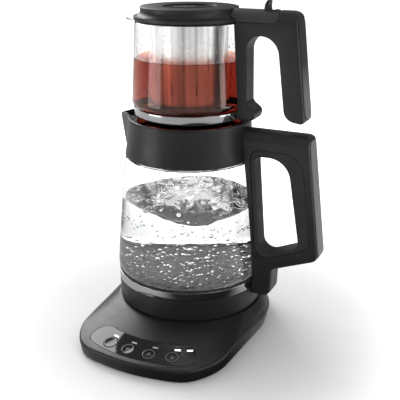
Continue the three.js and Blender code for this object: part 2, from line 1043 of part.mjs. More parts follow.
function connectorSocket() {
  const postTop = base.seatHeight + post.height;
  const roof = postTop + socket.headroom;
  const inner = post.radius + socket.clearance;
  const outer = inner + socket.wall;
  const ring = (post.ringInner + post.ringOuter) / 2;
  const flangeBottom = kettle.floorHeight + kettle.floorThickness + gap;
  return revolve([
    [0, postTop - post.pinDepth + socket.headroom],
    [socket.pinRadius, postTop - post.pinDepth + socket.headroom],
    [socket.pinRadius, roof],
    [ring - socket.ringHalfWidth, roof],
    [ring - socket.ringHalfWidth, postTop - post.ringDepth + socket.headroom],
    [ring + socket.ringHalfWidth, postTop - post.ringDepth + socket.headroom],
    [ring + socket.ringHalfWidth, roof],
    [inner, roof],
    [inner, kettle.footBottom],
    [outer, kettle.footBottom],
    [outer, flangeBottom],
    [socket.flangeRadius, flangeBottom],
    [socket.flangeRadius, flangeBottom + socket.flangeThickness],
    [outer, flangeBottom + socket.flangeThickness],
    [outer, roof + socket.roof],
    [0, roof + socket.roof],
  ], facets.inner);
}

// Radius of the collar's outside at a height
function collarRadiusAt(height) {
  const share = (height - kettle.collarBottom) / (kettle.rimHeight - kettle.collarBottom);
  const middle = (kettle.collarRadius + kettle.rimRadius) / 2 - kettle.waist;
  return (1 - share) ** 2 * kettle.collarRadius + 2 * share * (1 - share) * middle + share ** 2 * kettle.rimRadius;
}

// The glass's side from the belly to the shoulder
function kettleSide(inset) {
  const start = new THREE.Vector2(kettle.bellyRadius - inset, kettle.bellyHeight);
  const end = new THREE.Vector2(kettle.shoulderRadius - inset, kettle.shoulderHeight);
  const control = start.clone().add(end).multiplyScalar(0.5);
  control.x += kettle.bulge;
  return new THREE.QuadraticBezierCurve(start, control, end).getPoints(facets.curve).map(({ x, y }) => [x, y]);
}

function kettleGlass() {
  const neck = (inset) => [kettle.collarBottom + gap, (kettle.collarBottom + kettle.neckTop) / 2, kettle.neckTop]
    .map((height) => [collarRadiusAt(height) - kettle.collarWall - gap - inset, height]);
  const shoulder = [kettle.collarRadius - kettle.collarWall, kettle.shoulderHeight + kettle.shoulderDrop];
  const outside = [
    [kettle.glassRim, glassBottom],
    [kettle.bellyRadius - gap, glassBottom + kettle.glassEdge],
    ...kettleSide(0),
    shoulder,
    ...neck(0),
  ];
  const inside = [
    [kettle.glassRim - kettle.glassWall, glassBottom],
    ...kettleSide(kettle.glassWall),
    ...neck(kettle.glassWall),
  ];
  return revolve([...outside, ...inside.reverse()]);
}

function collarShell() {
  const levels = Array.from({ length: facets.curve + 1 }, (_, i) => THREE.MathUtils.lerp(
    kettle.collarBottom,
    kettle.rimHeight - kettle.rimEdge,
    i / facets.curve,
  ));
  const side = (inset, heights) => heights.map((height) => [collarRadiusAt(height) - inset, height]);
  return revolve([
    ...side(0, levels),
    [kettle.rimRadius - kettle.rimEdge, kettle.rimHeight],
    [kettle.rimRadius - kettle.collarWall, kettle.rimHeight],
    ...side(kettle.collarWall, [kettle.rimHeight - kettle.rimEdge, levels[2], levels[1], levels[0]]),
  ]);
}

function collarBore() {
  const levels = [kettle.collarBottom, (kettle.collarBottom + kettle.rimHeight) / 2, kettle.rimHeight];
  const side = levels.map((height) => [collarRadiusAt(height) - kettle.collarWall, height]);
  return revolve([
    [0, kettle.collarBottom],
    ...side,
    [kettle.rimRadius - kettle.collarWall, kettle.rimHeight + overrun],
    [0, kettle.rimHeight + overrun],
  ]);
}

function spoutWedge(inset) {
  const slant = inset / Math.sin(Math.atan(spout.halfWidth / (spout.apexReach - spout.inside)));
  const plan = roundedShape([
    [-spout.apexReach + slant, 0, spout.nose],
    [-spout.inside + slant, spout.halfWidth, 0],
    [-spout.inside + slant, -spout.halfWidth, 0],
  ]);
  return upwards(plan, spout.rootHeight, kettle.rimHeight + overrun);
}

function kettleCollar() {
  const side = roundedShape([
    [-spout.inside, kettle.rimHeight, 0],
    [-kettle.rimRadius, kettle.rimHeight, 0],
    [-spout.tipReach, spout.tipHeight, 0],
    [-spout.lipReach, spout.lipHeight, 0],
    [-spout.rootReach, spout.rootHeight, 0],
    [-spout.inside, spout.rootHeight, 0],
  ]);
  const floor = teapotBottom;
  const channelSide = roundedShape([
    [-spout.inside + overrun, floor, 0],
    [-spout.inside + overrun, kettle.rimHeight + overrun, 0],
    [-spout.apexReach, kettle.rimHeight + overrun, 0],
    [-spout.apexReach, floor, 0],
  ]);
  const beak = common(spoutWedge(0), acrossY(side, reachAll));
  const channel = common(spoutWedge(spout.wall), acrossY(channelSide, reachAll));
  return cut(join(collarShell(), cut(beak, collarBore())), channel);
}

function seatRing() {
  const bottom = kettle.neckTop + gap;
  const ring = revolve([
    [seat.inner, bottom],
    [seat.outer, bottom],
    [seat.outer, bottom + seat.thickness],
    [seat.inner, bottom + seat.thickness],
  ]);
  const vent = block(
    [seat.ventInner, -seat.ventWidth / 2, bottom - overrun],
    [seat.ventOuter, seat.ventWidth / 2, bottom + seat.thickness + overrun],
  );
  const vents = Array.from({ length: seat.vents }, (_, i) => vent.rotate([0, 0, (360 * (i + 0.5)) / seat.vents]));
  return cut(ring, ...vents);
}

function spoutStrainer() {
  const bottom = teapotBottom;
  const plate = block(
    [-strainer.reach, -strainer.halfWidth, bottom],
    [-strainer.reach + strainer.thickness, strainer.halfWidth, bottom + strainer.height],
  );
  const slots = Array.from({ length: strainer.slots }, (_, i) => {
    const y = (i - (strainer.slots - 1) / 2) * strainer.slotPitch;
    return block(
      [-strainer.reach - overrun, y - strainer.slotWidth / 2, bottom + strainer.edge],
      [overrun - strainer.reach, y + strainer.slotWidth / 2, bottom + strainer.height - strainer.edge],
    );
  });
  return cut(plate, ...slots);
}

// Handles

// A front view with a half-round top, as wide as a handle
function halfRound(ridge, halfWidth, bottom) {
  const shape = new THREE.Shape();
  shape.moveTo(-halfWidth, bottom);
  shape.lineTo(halfWidth, bottom);
  shape.absarc(0, ridge - halfWidth, halfWidth, 0, Math.PI, false);
  shape.closePath();
  return shape;
}

function ridgePrism(ridge, halfWidth = handle.halfWidth, bottom = 0) {
  const geometry = extrude(halfRound(ridge, halfWidth, bottom), 2 * reachAll, { curveSegments: facets.small });
  const turn = new THREE.Matrix4().makeBasis(
    new THREE.Vector3(0, 1, 0),
    new THREE.Vector3(0, 0, 1),
    new THREE.Vector3(1, 0, 0),
  );
  return solidOf(geometry.applyMatrix4(turn));
}

// The handle's side view across Y, with a crowned outer face
function crowned(corners, grow = 0) {
  return acrossY(roundedShape(corners), handle.halfWidth, {
    inset: handle.crown,
    depth: handle.crownDepth,
    grow,
  });
}

// A window with round ends, seen along X
function roundWindow(halfWidth, bottom, top, from, to) {
  const shape = new THREE.Shape();
  shape.absarc(0, top - halfWidth, halfWidth, 0, Math.PI, false);
  shape.absarc(0, bottom + halfWidth, halfWidth, Math.PI, 2 * Math.PI, false);
  return alongX(shape, from, to);
}

function stripWindow({ stripBottom, stripTop, stripFrom }, grow) {
  return roundWindow(
    handle.stripHalfWidth + grow,
    stripBottom - grow,
    stripTop + grow,
    stripFrom,
    stripFrom + reachAll,
  );
}

// The inlaid strip follows the outer face, and the recess for it leaves a gap
function handleStrip(sizes) {
  const sunk = handle.stripThickness - handle.stripProud;
  const skin = cut(crowned(sizes.bar, handle.stripProud), crowned(sizes.bar, -sunk));
  return common(skin, stripWindow(sizes, 0));
}

function stripRecess(sizes) {
  const sunk = handle.stripThickness - handle.stripProud + gap;
  return cut(stripWindow(sizes, gap), crowned(sizes.bar, -sunk));
}

// The outside of the kettle, a gap larger, for what hugs it
function kettleEnvelope() {
  const collarLevels = [kettle.collarBottom, (kettle.collarBottom + kettle.rimHeight) / 2, kettle.rimHeight];
  return revolve([
    [0, 0],
    [kettle.footTopRadius + gap, 0],
    [kettle.footTopRadius + gap, kettle.footTop],
    [kettle.bandRadius + gap, kettle.footTop],
    ...kettleSide(-gap),
    ...collarLevels.map((height) => [collarRadiusAt(height) + gap, height]),
    [kettle.rimRadius + gap, kettle.rimHeight + overrun],
    [0, kettle.rimHeight + overrun],
  ]);
}

function kettleHandleFrame() {
  const body = common(crowned(kettleHandle.frame), ridgePrism(kettleHandle.ridge));
  const bay = acrossY(roundedShape(kettleHandle.bay), handle.halfWidth + overrun);
  return cut(body, kettleEnvelope(), bay, stripRecess(kettleHandle));
}

function kettleHandleLiner() {
  const block3 = acrossY(roundedShape(kettleHandle.bay), handle.halfWidth, { grow: -gap });
  const hole = acrossY(roundedShape(kettleHandle.hole), handle.halfWidth, {
    inset: -handle.holeRound,
    depth: handle.holeDepth,
  });
  return cut(block3, hole);
}

function teapotEnvelope() {
  return revolve([
    [0, teapotBottom - overrun],
    [teapot.bandRadius + gap, teapotBottom - overrun],
    [teapot.bandRadius + gap, teapot.bandTop],
    [teapot.bellyRadius + gap, teapot.bandTop],
    [teapot.bellyRadius + gap, teapot.bellyHeight],
    [teapot.rimRadius + gap, teapot.rimHeight],
    [lid.flangeRadius + gap, teapot.rimHeight + gap],
    [lid.flangeRadius + gap, lid.topHeight + overrun],
    [0, lid.topHeight + overrun],
  ]);
}

// The round pocket behind the lid arm's barrel, open towards the lid
function hingePocket() {
  const radius = hinge.barrel + hinge.running;
  return join(
    rodAcrossY(radius, handle.halfWidth + overrun, hinge.x, hinge.z),
    block([0, -reachAll, hinge.z], [hinge.x + radius, reachAll, hinge.z + reachAll]),
    block([0, -reachAll, teapotHandle.armTop], [hinge.x, reachAll, hinge.z + reachAll]),
  );
}

function hingeBore(radius, halfLength) {
  return rodAcrossY(radius, halfLength, hinge.x, hinge.z, facets.small);
}

function teapotHandleFrame() {
  const body = common(crowned(teapotHandle.frame), ridgePrism(teapotHandle.ridge));
  const lug = join(
    rodAcrossY(hinge.lugRadius, hinge.lugHalfWidth, hinge.x, hinge.z),
    block(
      [hinge.x - hinge.lugFoot, -hinge.lugHalfWidth, teapotHandle.armTop - overrun],
      [hinge.x + hinge.lugFoot, hinge.lugHalfWidth, hinge.z],
    ),
  );
  const shell = cut(body, teapotEnvelope(), hingePocket(), stripRecess(teapotHandle), gripRecess());
  return cut(join(shell, lug), hingeBore(hinge.pinRadius + gap, handle.halfWidth));
}

function gripWindow(grow) {
  return roundWindow(grip.halfWidth + grow, grip.bottom - grow, grip.top + grow, grip.from, grip.to);
}

function teapotGrip() {
  const inner = grip.proud - grip.thickness;
  const skin = cut(crowned(teapotHandle.bar, grip.proud), crowned(teapotHandle.bar, inner));
  return common(skin, gripWindow(0));
}

function gripRecess() {
  const inner = grip.proud - grip.thickness - gap;
  return cut(gripWindow(gap), crowned(teapotHandle.bar, inner));
}

// Teapot

// Pulls the rim out into a pouring lip on the -X side
function withLip(geometry) {
  const position = geometry.attributes.position;
  const rise = teapot.rimHeight - teapot.lipStart;
  for (let i = 0; i < position.count; i += 1) {
    const [x, y, z] = [position.getX(i), position.getY(i), position.getZ(i)];
    const off = THREE.MathUtils.radToDeg(Math.atan2(Math.abs(y), -x)) / teapot.lipAngle;
    if (z > teapot.lipStart && off < 1) {
      const share = ((z - teapot.lipStart) / rise) ** 1.6;
      position.setX(i, x - teapot.lipReach * share * Math.cos((off * Math.PI) / 2) ** 2);
    }
  }
  return geometry;
}

function teapotSide(inset) {
  const rise = teapot.rimHeight - teapot.lipStart;
  const slope = (teapot.bellyRadius - teapot.rimRadius) / (teapot.rimHeight - teapot.bellyHeight);
  const radiusAt = (height) => teapot.bellyRadius - slope * (height - teapot.bellyHeight) - inset;
  const levels = [teapot.bellyHeight, ...lipShares.map((share) => teapot.lipStart + rise * share)];
  return levels.map((height) => [radiusAt(height), height]);
}

function teapotGlass() {
  const { wall, baseRadius, baseRound, bandBottom, bandTop, bandRadius, bandTaper, bandWall } = teapot;
  const underBand = bandRadius - bandWall - gap;
  const outside = [
    [0, teapotBottom],
    [baseRadius - baseRound, teapotBottom],
    [baseRadius, teapotBottom + baseRound],
    [underBand - bandTaper, bandBottom],
    [underBand, bandTop + gap],
    ...teapotSide(0),
    [teapot.rimRadius, teapot.rimHeight - teapot.rimEdge],
    [teapot.rimRadius - teapot.rimEdge, teapot.rimHeight],
  ];
  const inside = [
    [0, teapotBottom + teapot.floor],
    [baseRadius - wall - baseRound, teapotBottom + teapot.floor],
    [baseRadius - wall, teapotBottom + teapot.floor + baseRound],
    [underBand - wall, bandTop + gap],
    ...teapotSide(wall),
    [teapot.rimRadius - wall, teapot.rimHeight],
  ];
  return revolve([...outside, ...inside.reverse()], facets.body, withLip);
}

function teapotBand() {
  const { bandRadius, bandTaper, bandWall, bandBottom, bandTop } = teapot;
  return revolve([
    [bandRadius - bandTaper - bandWall, bandBottom],
    [bandRadius - bandTaper, bandBottom],
    [bandRadius, bandTop],
    [bandRadius - bandWall, bandTop],
  ]);
}

function infuserRing() {
  const { ringInner, ringOuter, ringWall, ringBottom, flangeRadius, flangeThickness } = infuser;
  const flangeBottom = teapot.rimHeight + gap;
  const ring = revolve([
    [ringInner, ringBottom],
    [ringOuter, ringBottom],
    [ringOuter, flangeBottom],
    [flangeRadius, flangeBottom],
    [flangeRadius, flangeBottom + flangeThickness],
    [ringOuter - ringWall, flangeBottom + flangeThickness],
    [ringOuter - ringWall, ringBottom + ringWall],
    [ringInner, ringBottom + ringWall],
  ]);
  const disc = new THREE.CylinderGeometry(infuser.tabRadius, infuser.tabRadius, infuser.tabThickness, facets.small);
  const y = infuser.tabThickness / 2 - ringOuter + gap;
  const tab = cut(
    solidOf(disc.translate(0, y, ringBottom + infuser.tabLift)),
    block([-reachAll, -reachAll, ringBottom + infuser.tabLift], [reachAll, 0, ringBottom + reachAll]),
  );
  return join(ring, ...tabAngles.map((angle) => tab.rotate([0, 0, angle])));
}

function infuserBasket() {
  const { radius, footRadius, bottom, wall, rimRadius } = infuser;
  const rim = infuser.ringBottom + infuser.ringWall + gap;
  const cup = revolve([
    [0, bottom],
    [footRadius - wall, bottom],
    [footRadius, bottom + wall],
    [radius, rim],
    [rimRadius, rim],
    [rimRadius, rim + wall],
    [radius - wall, rim + wall],
    [footRadius - 2 * wall, bottom + wall],
    [0, bottom + wall],
  ]);
  const holes = [];
  for (let row = 0; row < infuser.holeRows; row += 1) {
    for (let i = 0; i < infuser.holeColumns; i += 1) {
      const turn = (360 * (i + (row % 2) / 2)) / infuser.holeColumns;
      const rod = new THREE.CylinderGeometry(infuser.holeRadius, infuser.holeRadius, 2 * overrun, 6);
      rod.translate(0, footRadius, infuser.holeStart + row * infuser.holePitch);
      holes.push(solidOf(rod.rotateZ(radians(turn))));
    }
  }
  return cut(cup, ...holes);
}

function hingePin() {
  return hingeBore(hinge.pinRadius, hinge.pinHalfLength);
}

// Lid

function lidProfile() {
  const flare = new THREE.QuadraticBezierCurve(
    new THREE.Vector2(lid.waistRadius, lid.waistHeight),
    new THREE.Vector2(lid.waistRadius, lid.flangeTop),
    new THREE.Vector2(lid.flangeRadius, lid.flangeTop),
  );
  return [
    [lid.topRadius - lid.topEdge, lid.topHeight],
    [lid.topRadius, lid.topHeight - lid.topEdge],
    ...flare.getPoints(facets.slope).map(({ x, y }) => [x, y]),
    [lid.flangeRadius, lid.flangeBottom + lid.flangeEdge],
    [lid.flangeRadius - lid.flangeEdge, lid.flangeBottom],
  ];
}

function lidShell() {
  const recess = lid.topHeight - lid.inlayDepth;
  const inner = lid.skirtRadius - lid.skirtWall;
  return revolve([
    [0, recess],
    [lid.inlayRadius + gap, recess],
    [lid.inlayRadius + gap, lid.topHeight],
    ...lidProfile(),
    [lid.skirtRadius, lid.flangeBottom],
    [lid.skirtRadius, lid.skirtBottom],
    [inner, lid.skirtBottom],
    [inner, recess - lid.thickness],
    [0, recess - lid.thickness],
  ]);
}

function lidInlay() {
  const bottom = lid.topHeight - lid.inlayDepth + gap;
  return revolve([
    [0, bottom],
    [lid.inlayRadius, bottom],
    [lid.inlayRadius, bottom + lid.inlayThickness],
    [0, bottom + lid.inlayThickness],
  ]);
}

function lidSeal() {
  return revolve([
    [lid.skirtRadius + gap, lid.sealBottom],
    [lid.sealRadius, lid.sealBottom],
    [lid.sealRadius, lid.sealBottom + lid.sealHeight],
    [lid.skirtRadius + gap, lid.sealBottom + lid.sealHeight],
  ]);
}

function lidArm() {
  const bottom = teapotHandle.armTop + gap;
  const lidOutside = revolve([
    [0, 0],
    [lid.flangeRadius + gap, 0],
    ...lidProfile().slice(2, -2).reverse().map(([radius, height]) => [radius + gap, height + gap]),
    [lid.topRadius + gap, lid.topHeight - lid.topEdge],
    [lid.topRadius + gap, lid.topHeight + overrun],
    [0, lid.topHeight + overrun],
  ]);
  const slotRadius = hinge.lugRadius + hinge.running;
  const slotSide = new THREE.Shape();
  slotSide.moveTo(hinge.x - slotRadius, bottom - overrun);
  slotSide.lineTo(hinge.x + reachAll, bottom - overrun);
  slotSide.lineTo(hinge.x + reachAll, hinge.z);
  slotSide.absarc(hinge.x, hinge.z, slotRadius, 0, Math.PI, false);
  slotSide.closePath();
  const slot = acrossY(slotSide, hinge.lugHalfWidth + gap);
  const arm = block(
    [0, -reachAll, bottom],
    [hinge.x, reachAll, teapotHandle.ridge + overrun],
  );
  const barrel = rodAcrossY(hinge.barrel, reachAll, hinge.x, hinge.z);
  const body = common(join(arm, barrel), ridgePrism(teapotHandle.ridge));
  return cut(body, lidOutside, slot, hingeBore(hinge.pinRadius + gap, hinge.pinHalfLength + gap));
}

function thumbLever() {
  const side = roundedShape([
    [lever.front, hinge.z, 0],
    [lever.front + lever.edge, lever.shoulderHeight, 0],
    [lever.tipFront, lever.tipHeight, lever.edge],
    [lever.tipRear, lever.tipHeight, lever.edge],
    [lever.rear - lever.edge, lever.shoulderHeight, 0],
    [lever.rear, hinge.z, 0],
  ]);
  const leaf = halfRound(lever.tipHeight, lever.halfWidth, hinge.z);
  const fin = common(acrossY(side, handle.halfWidth), alongX(leaf, lever.front, lever.rear + lever.edge));
  return cut(fin, ridgePrism(teapotHandle.ridge + gap, handle.halfWidth + gap));
}

// Assembly

function piece(name, solid, material) {
  const mesh = new THREE.Mesh(geometryOf(solid), material);
  mesh.name = name;
  return mesh;
}

function group(...pieces) {
  return new THREE.Group().add(...pieces);
}

const baseUnit = group(
  piece('base_housing', baseHousing(), plastic),
  piece('base_bottom_cover', bottomCover(), plastic),
  ...bothSides(screw.places).map((place, i) => piece(`base_screw_${i + 1}`, coverScrew(place), steel)),
  ...bothSides(foot.places).map((place, i) => piece(`base_foot_${i + 1}`, baseFoot(place), rubber)),
  piece('cord_gland', cordGland(), rubber),
  piece('control_panel', cut(panelSlab(0, 0, panel.thickness), ...panelOpenings()), glossPlastic),
  ...buttons.map((place) => piece(`${place.name}_button`, pushButton(place), glossPlastic)),
  ...buttons.map((place) => piece(`${place.name}_switch`, tactSwitch(place), component)),
  ...lightAngles.map((angle, i) => piece(`indicator_light_${i + 1}`, lightPipeAt(angle), lightPipe)),
  piece('control_board', controlBoard(), circuit),
  piece('power_board', powerBoardPlate(), circuit),
  piece('power_relay', relayBlock(), component),
  piece('base_connector', connectorPost(), plastic),
);

const kettleUnit = group(
  piece('kettle_foot', kettleFoot(), plastic),
  piece('kettle_connector', connectorSocket(), plastic),
  piece('kettle_metal_band', metalBand(), darkSteel),
  piece('heating_plate', heatingPlate(), steel),
  piece('heating_element', heatingElement(), darkSteel),
  piece('temperature_sensor', temperatureSensor(), steel),
  piece('plate_gasket', plateGasket(), silicone),
  piece('kettle_glass', kettleGlass(), glass),
  piece('kettle_collar', kettleCollar(), plastic),
  piece('teapot_seat_ring', seatRing(), silicone),
  piece('spout_strainer', spoutStrainer(), steel),
  piece('kettle_handle_frame', kettleHandleFrame(), plastic),
  piece('kettle_handle_liner', kettleHandleLiner(), softPlastic),
  piece('kettle_handle_strip', handleStrip(kettleHandle), glossPlastic),
);

const lidUnit = group(
  piece('lid_shell', lidShell(), plastic),
  piece('lid_inlay', lidInlay(), glossPlastic),
  piece('lid_seal', lidSeal(), silicone),
  piece('lid_arm', lidArm(), plastic),
  piece('lid_thumb_lever', thumbLever(), plastic),
);

const teapotUnit = group(
  piece('teapot_glass', teapotGlass(), glass),
  piece('teapot_metal_band', teapotBand(), steel),
  piece('teapot_handle_frame', teapotHandleFrame(), plastic),
  piece('teapot_handle_grip', teapotGrip(), softPlastic),
  piece('teapot_handle_strip', handleStrip(teapotHandle), glossPlastic),
  piece('infuser_ring', infuserRing(), plastic),
  piece('infuser_basket', infuserBasket(), steel),
  piece('lid_hinge_pin', hingePin(), steel),
  lidUnit,
);

// The origin is the middle of the footprint of the whole object, at the table
const assembly = group(baseUnit, kettleUnit, teapotUnit);
const middle = new THREE.Box3().setFromObject(assembly).getCenter(new THREE.Vector3());
assembly.position.set(-middle.x, -middle.y, 0);

const teaMaker = group(assembly);
teaMaker.name = 'tea_maker';

export default teaMaker;
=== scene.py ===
import math
import random

import bmesh
import bpy
from mathutils import Matrix, Vector, noise

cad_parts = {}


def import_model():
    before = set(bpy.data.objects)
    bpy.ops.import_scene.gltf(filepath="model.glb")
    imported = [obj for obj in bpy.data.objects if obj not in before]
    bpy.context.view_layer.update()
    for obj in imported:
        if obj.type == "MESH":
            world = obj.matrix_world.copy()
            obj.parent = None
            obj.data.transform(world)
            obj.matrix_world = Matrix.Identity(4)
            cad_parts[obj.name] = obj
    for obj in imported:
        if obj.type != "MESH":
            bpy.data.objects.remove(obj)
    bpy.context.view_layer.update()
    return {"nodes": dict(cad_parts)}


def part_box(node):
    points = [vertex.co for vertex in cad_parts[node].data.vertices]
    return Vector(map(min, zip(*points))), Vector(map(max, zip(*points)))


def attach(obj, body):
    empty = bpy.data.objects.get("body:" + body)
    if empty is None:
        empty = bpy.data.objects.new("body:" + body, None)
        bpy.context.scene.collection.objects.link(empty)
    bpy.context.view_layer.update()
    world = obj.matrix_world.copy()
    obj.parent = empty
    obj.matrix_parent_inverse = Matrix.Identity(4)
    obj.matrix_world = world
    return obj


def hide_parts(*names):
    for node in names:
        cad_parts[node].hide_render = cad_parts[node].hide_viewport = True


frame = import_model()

# Lengths are in millimetres round the kettle's axis, and world() turns them into the frame's metres
MM = 0.001
low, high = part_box("kettle_foot")
AXIS = ((low.x + high.x) / 2, (low.y + high.y) / 2)
GAP = 0.3
AROUND = 144


def world(x, y, z):
    return (AXIS[0] + x * MM, AXIS[1] + y * MM, z * MM)


def polar(radius, angle, z):
    """A place at an angle in degrees from the front."""
    turn = math.radians(angle)
    return (radius * math.sin(turn), -radius * math.cos(turn), z)


def blend(low_value, high_value, share):
    return low_value + (high_value - low_value) * share


def spread(first, last, count):
    return [blend(first, last, i / (count - 1)) for i in range(count)]


def turns(count):
    """Angles all the way round."""
    return [360 * i / count for i in range(count)]


def circle(x, y, radius, first=0.0, last=360.0, count=25):
    angles = [math.radians(t) for t in spread(first, last, count)]
    return [(x + radius * math.cos(t), y + radius * math.sin(t)) for t in angles]


def bent(first, middle, last, share):
    """A quadratic curve from first to last that leans towards middle."""
    keep = 1 - share
    return keep ** 2 * first + 2 * share * keep * middle + share ** 2 * last


def side(radius_at, inset, first, last, count):
    """Points of a profile between two heights."""
    return [(radius_at(z) - inset, z) for z in spread(first, last, count)]


def eased(knots, value):
    """A smooth curve through knots of (place, height)."""
    for (a, low_value), (b, high_value) in zip(knots, knots[1:]):
        if value <= b:
            share = (value - a) / (b - a)
            return blend(low_value, high_value, share * share * (3 - 2 * share))
    return knots[-1][1]


def shift(x, y, z=0.0):
    return Matrix.Translation((x, y, z))


def spin(degrees, axis="Z"):
    return Matrix.Rotation(math.radians(degrees), 4, axis)


def off_front(angle):
    """Degrees from the front, to either side."""
    return abs((angle + 180) % 360 - 180)


# Meshes

def add_object(name, data):
    thing = bpy.data.objects.new(name, data)
    bpy.context.scene.collection.objects.link(thing)
    return thing


def smooth(piece, sharp=32):
    piece.data.shade_smooth()
    piece.data.set_sharp_from_angle(angle=math.radians(sharp))


def build(name, points, faces, sharp=32, flip=False):
    mesh = bpy.data.meshes.new(name)
    mesh.from_pydata([world(*point) for point in points], [], faces)
    tool = bmesh.new()
    tool.from_mesh(mesh)
    bmesh.ops.remove_doubles(tool, verts=tool.verts, dist=1e-7)
    bmesh.ops.recalc_face_normals(tool, faces=tool.faces)
    if flip:
        bmesh.ops.reverse_faces(tool, faces=tool.faces)
    tool.to_mesh(mesh)
    tool.free()
    piece = add_object(name, mesh)
    smooth(piece, sharp)
    return piece


def loop_faces(loops, count, ends_meet, start=0):
    """Faces between loops of count points each. The two end loops meet, or get a cap each."""
    faces = []
    for s in range(loops if ends_meet else loops - 1):
        here = start + s * count
        there = start + (s + 1) % loops * count
        for i in range(count):
            j = (i + 1) % count
            faces.append((here + i, here + j, there + j, there + i))
    if not ends_meet:
        end = start + loops * count
        faces.append(tuple(range(start, start + count)))
        faces.append(tuple(reversed(range(end - count, end))))
    return faces


def rectangle(x0, y0, x1, y1, corner=0.0):
    return [(x0, y0, corner), (x1, y0, corner), (x1, y1, corner), (x0, y1, corner)]


def loft(name, rings, ends_meet, sharp=32):
    """Joins closed loops of points, each with the same count."""
    points = [point for ring in rings for point in ring]
    return build(name, points, loop_faces(len(rings), len(rings[0]), ends_meet), sharp)


def rounded(corners, grow=0.0, steps=6):
    """Points of a closed outline of (x, y, corner radius), pushed outwards by grow."""
    count = len(corners)
    area = sum(a[0] * b[1] - b[0] * a[1] for a, b in zip(corners, corners[1:] + corners[:1]))
    side = 1 if area > 0 else -1
    spots = [Vector((x, y)) for x, y, radius in corners]
    ways = [(spots[(i + 1) % count] - spots[i]).normalized() for i in range(count)]
    points = []
    for i, (x, y, radius) in enumerate(corners):
        before, after = ways[i - 1], ways[i]
        turn = before.x * after.y - before.y * after.x
        out_before = Vector((before.y, -before.x)) * side
        out_after = Vector((after.y, -after.x)) * side
        middle = out_before + out_after
        spot = spots[i] + middle * (grow / (1 + out_before.dot(out_after)))
        if radius == 0 or abs(turn) < 1e-6:
            points.append((spot.x, spot.y))
            continue
        bend = max(radius + grow if turn * side > 0 else radius - grow, 0.05)
        half = math.acos(max(-1.0, min(1.0, (-before).dot(after)))) / 2
        centre = spot + (after - before).normalized() * (bend / math.sin(half))
        start = spot - before * (bend / math.tan(half)) - centre
        sweep = math.copysign(math.pi - 2 * half, turn)
        for k in range(steps + 1):
            angle = sweep * k / steps
            c, s = math.cos(angle), math.sin(angle)
            points.append((centre.x + start.x * c - start.y * s, centre.y + start.x * s + start.y * c))
    return points


def lathe(name, profile, around=AROUND, bend=None):
    """Turns a closed profile of (radius, height) points round the kettle's axis."""
    rings = []
    for radius, height in profile:
        ring = [polar(radius, angle, height) for angle in turns(around)]
        rings.append([bend(*point) for point in ring] if bend else ring)
    return loft(name, rings, True)


def across_y(name, corners, sections, steps):
    """Extrudes a side view along Y. Each section is (y, grow)."""
    rings = [[(x, y, z) for x, z in rounded(corners, grow, steps)] for y, grow in sections]
    return loft(name, rings, False)


def along_x(name, corners, x_low, x_high, steps):
    rings = [[(x, y, z) for y, z in rounded(corners, 0, steps)] for x in (x_low, x_high)]
    return loft(name, rings, False)


def upwards(name, corners, z_low, z_high, steps=8):
    rings = [[(x, y, z) for x, y in rounded(corners, 0, steps)] for z in (z_low, z_high)]
    return loft(name, rings, False)


def combine(piece, how, *others):
    """Cuts, joins or intersects piece with each of the others, which then go."""
    for other in others:
        tool = piece.modifiers.new("shape", "BOOLEAN")
        tool.operation = how
        tool.solver = "EXACT"
        tool.object = other
        graph = bpy.context.evaluated_depsgraph_get()
        mesh = bpy.data.meshes.new_from_object(piece.evaluated_get(graph))
        piece.modifiers.clear()
        piece.data = mesh
        bpy.data.objects.remove(other)
    smooth(piece)
    return piece


def moved(piece, matrix):
    """Moves a mesh that was built round the kettle's axis by a matrix in millimetres."""
    to_axis = shift(*AXIS) @ Matrix.Scale(MM, 4)
    piece.data.transform(to_axis @ matrix @ to_axis.inverted())
    return piece


def rod_y(name, radius, half, x, z, around=64):
    ring = circle(x, z, radius, count=around + 1)[:-1]
    return loft(name, [[(u, y, v) for u, v in ring] for y in (-half, half)], False)


def box_of(name, lows, highs):
    (x0, y0, z0), (x1, y1, z1) = lows, highs
    return upwards(name, rectangle(x0, y0, x1, y1), z0, z1)


# Materials

class Wires:
    """Shader nodes that are joined as they are made."""

    def __init__(self, owner):
        owner.use_nodes = True
        self.nodes = owner.node_tree.nodes
        self.links = owner.node_tree.links

    def fill(self, node, inputs):
        for socket, value in dict(inputs).items():
            if isinstance(value, bpy.types.NodeSocket):
                self.links.new(value, node.inputs[socket])
            else:
                node.inputs[socket].default_value = value

    def add(self, kind, inputs=(), **settings):
        node = self.nodes.new("ShaderNode" + kind)
        for key, value in settings.items():
            setattr(node, key, value)
        self.fill(node, inputs)
        return node

    def math(self, operation, first, second):
        return self.add("Math", {0: first, 1: second}, operation=operation).outputs[0]

    def span(self, value, first, last, low_value, high_value, curve="SMOOTHSTEP"):
        ends = {"From Min": first, "From Max": last, "To Min": low_value, "To Max": high_value}
        return self.add("MapRange", {"Value": value, **ends}, interpolation_type=curve).outputs["Result"]

    def ramp(self, value, first, last, low_colour, high_colour):
        node = self.add("ValToRGB", {"Fac": value})
        ends = zip(node.color_ramp.elements, (first, last), (low_colour, high_colour))
        for element, place, colour in ends:
            element.position = place
            element.color = (*colour, 1)
        return node.outputs["Color"]

    def distance(self, place, spot):
        return self.add("VectorMath", {0: place, 1: spot}, operation="DISTANCE").outputs["Value"]


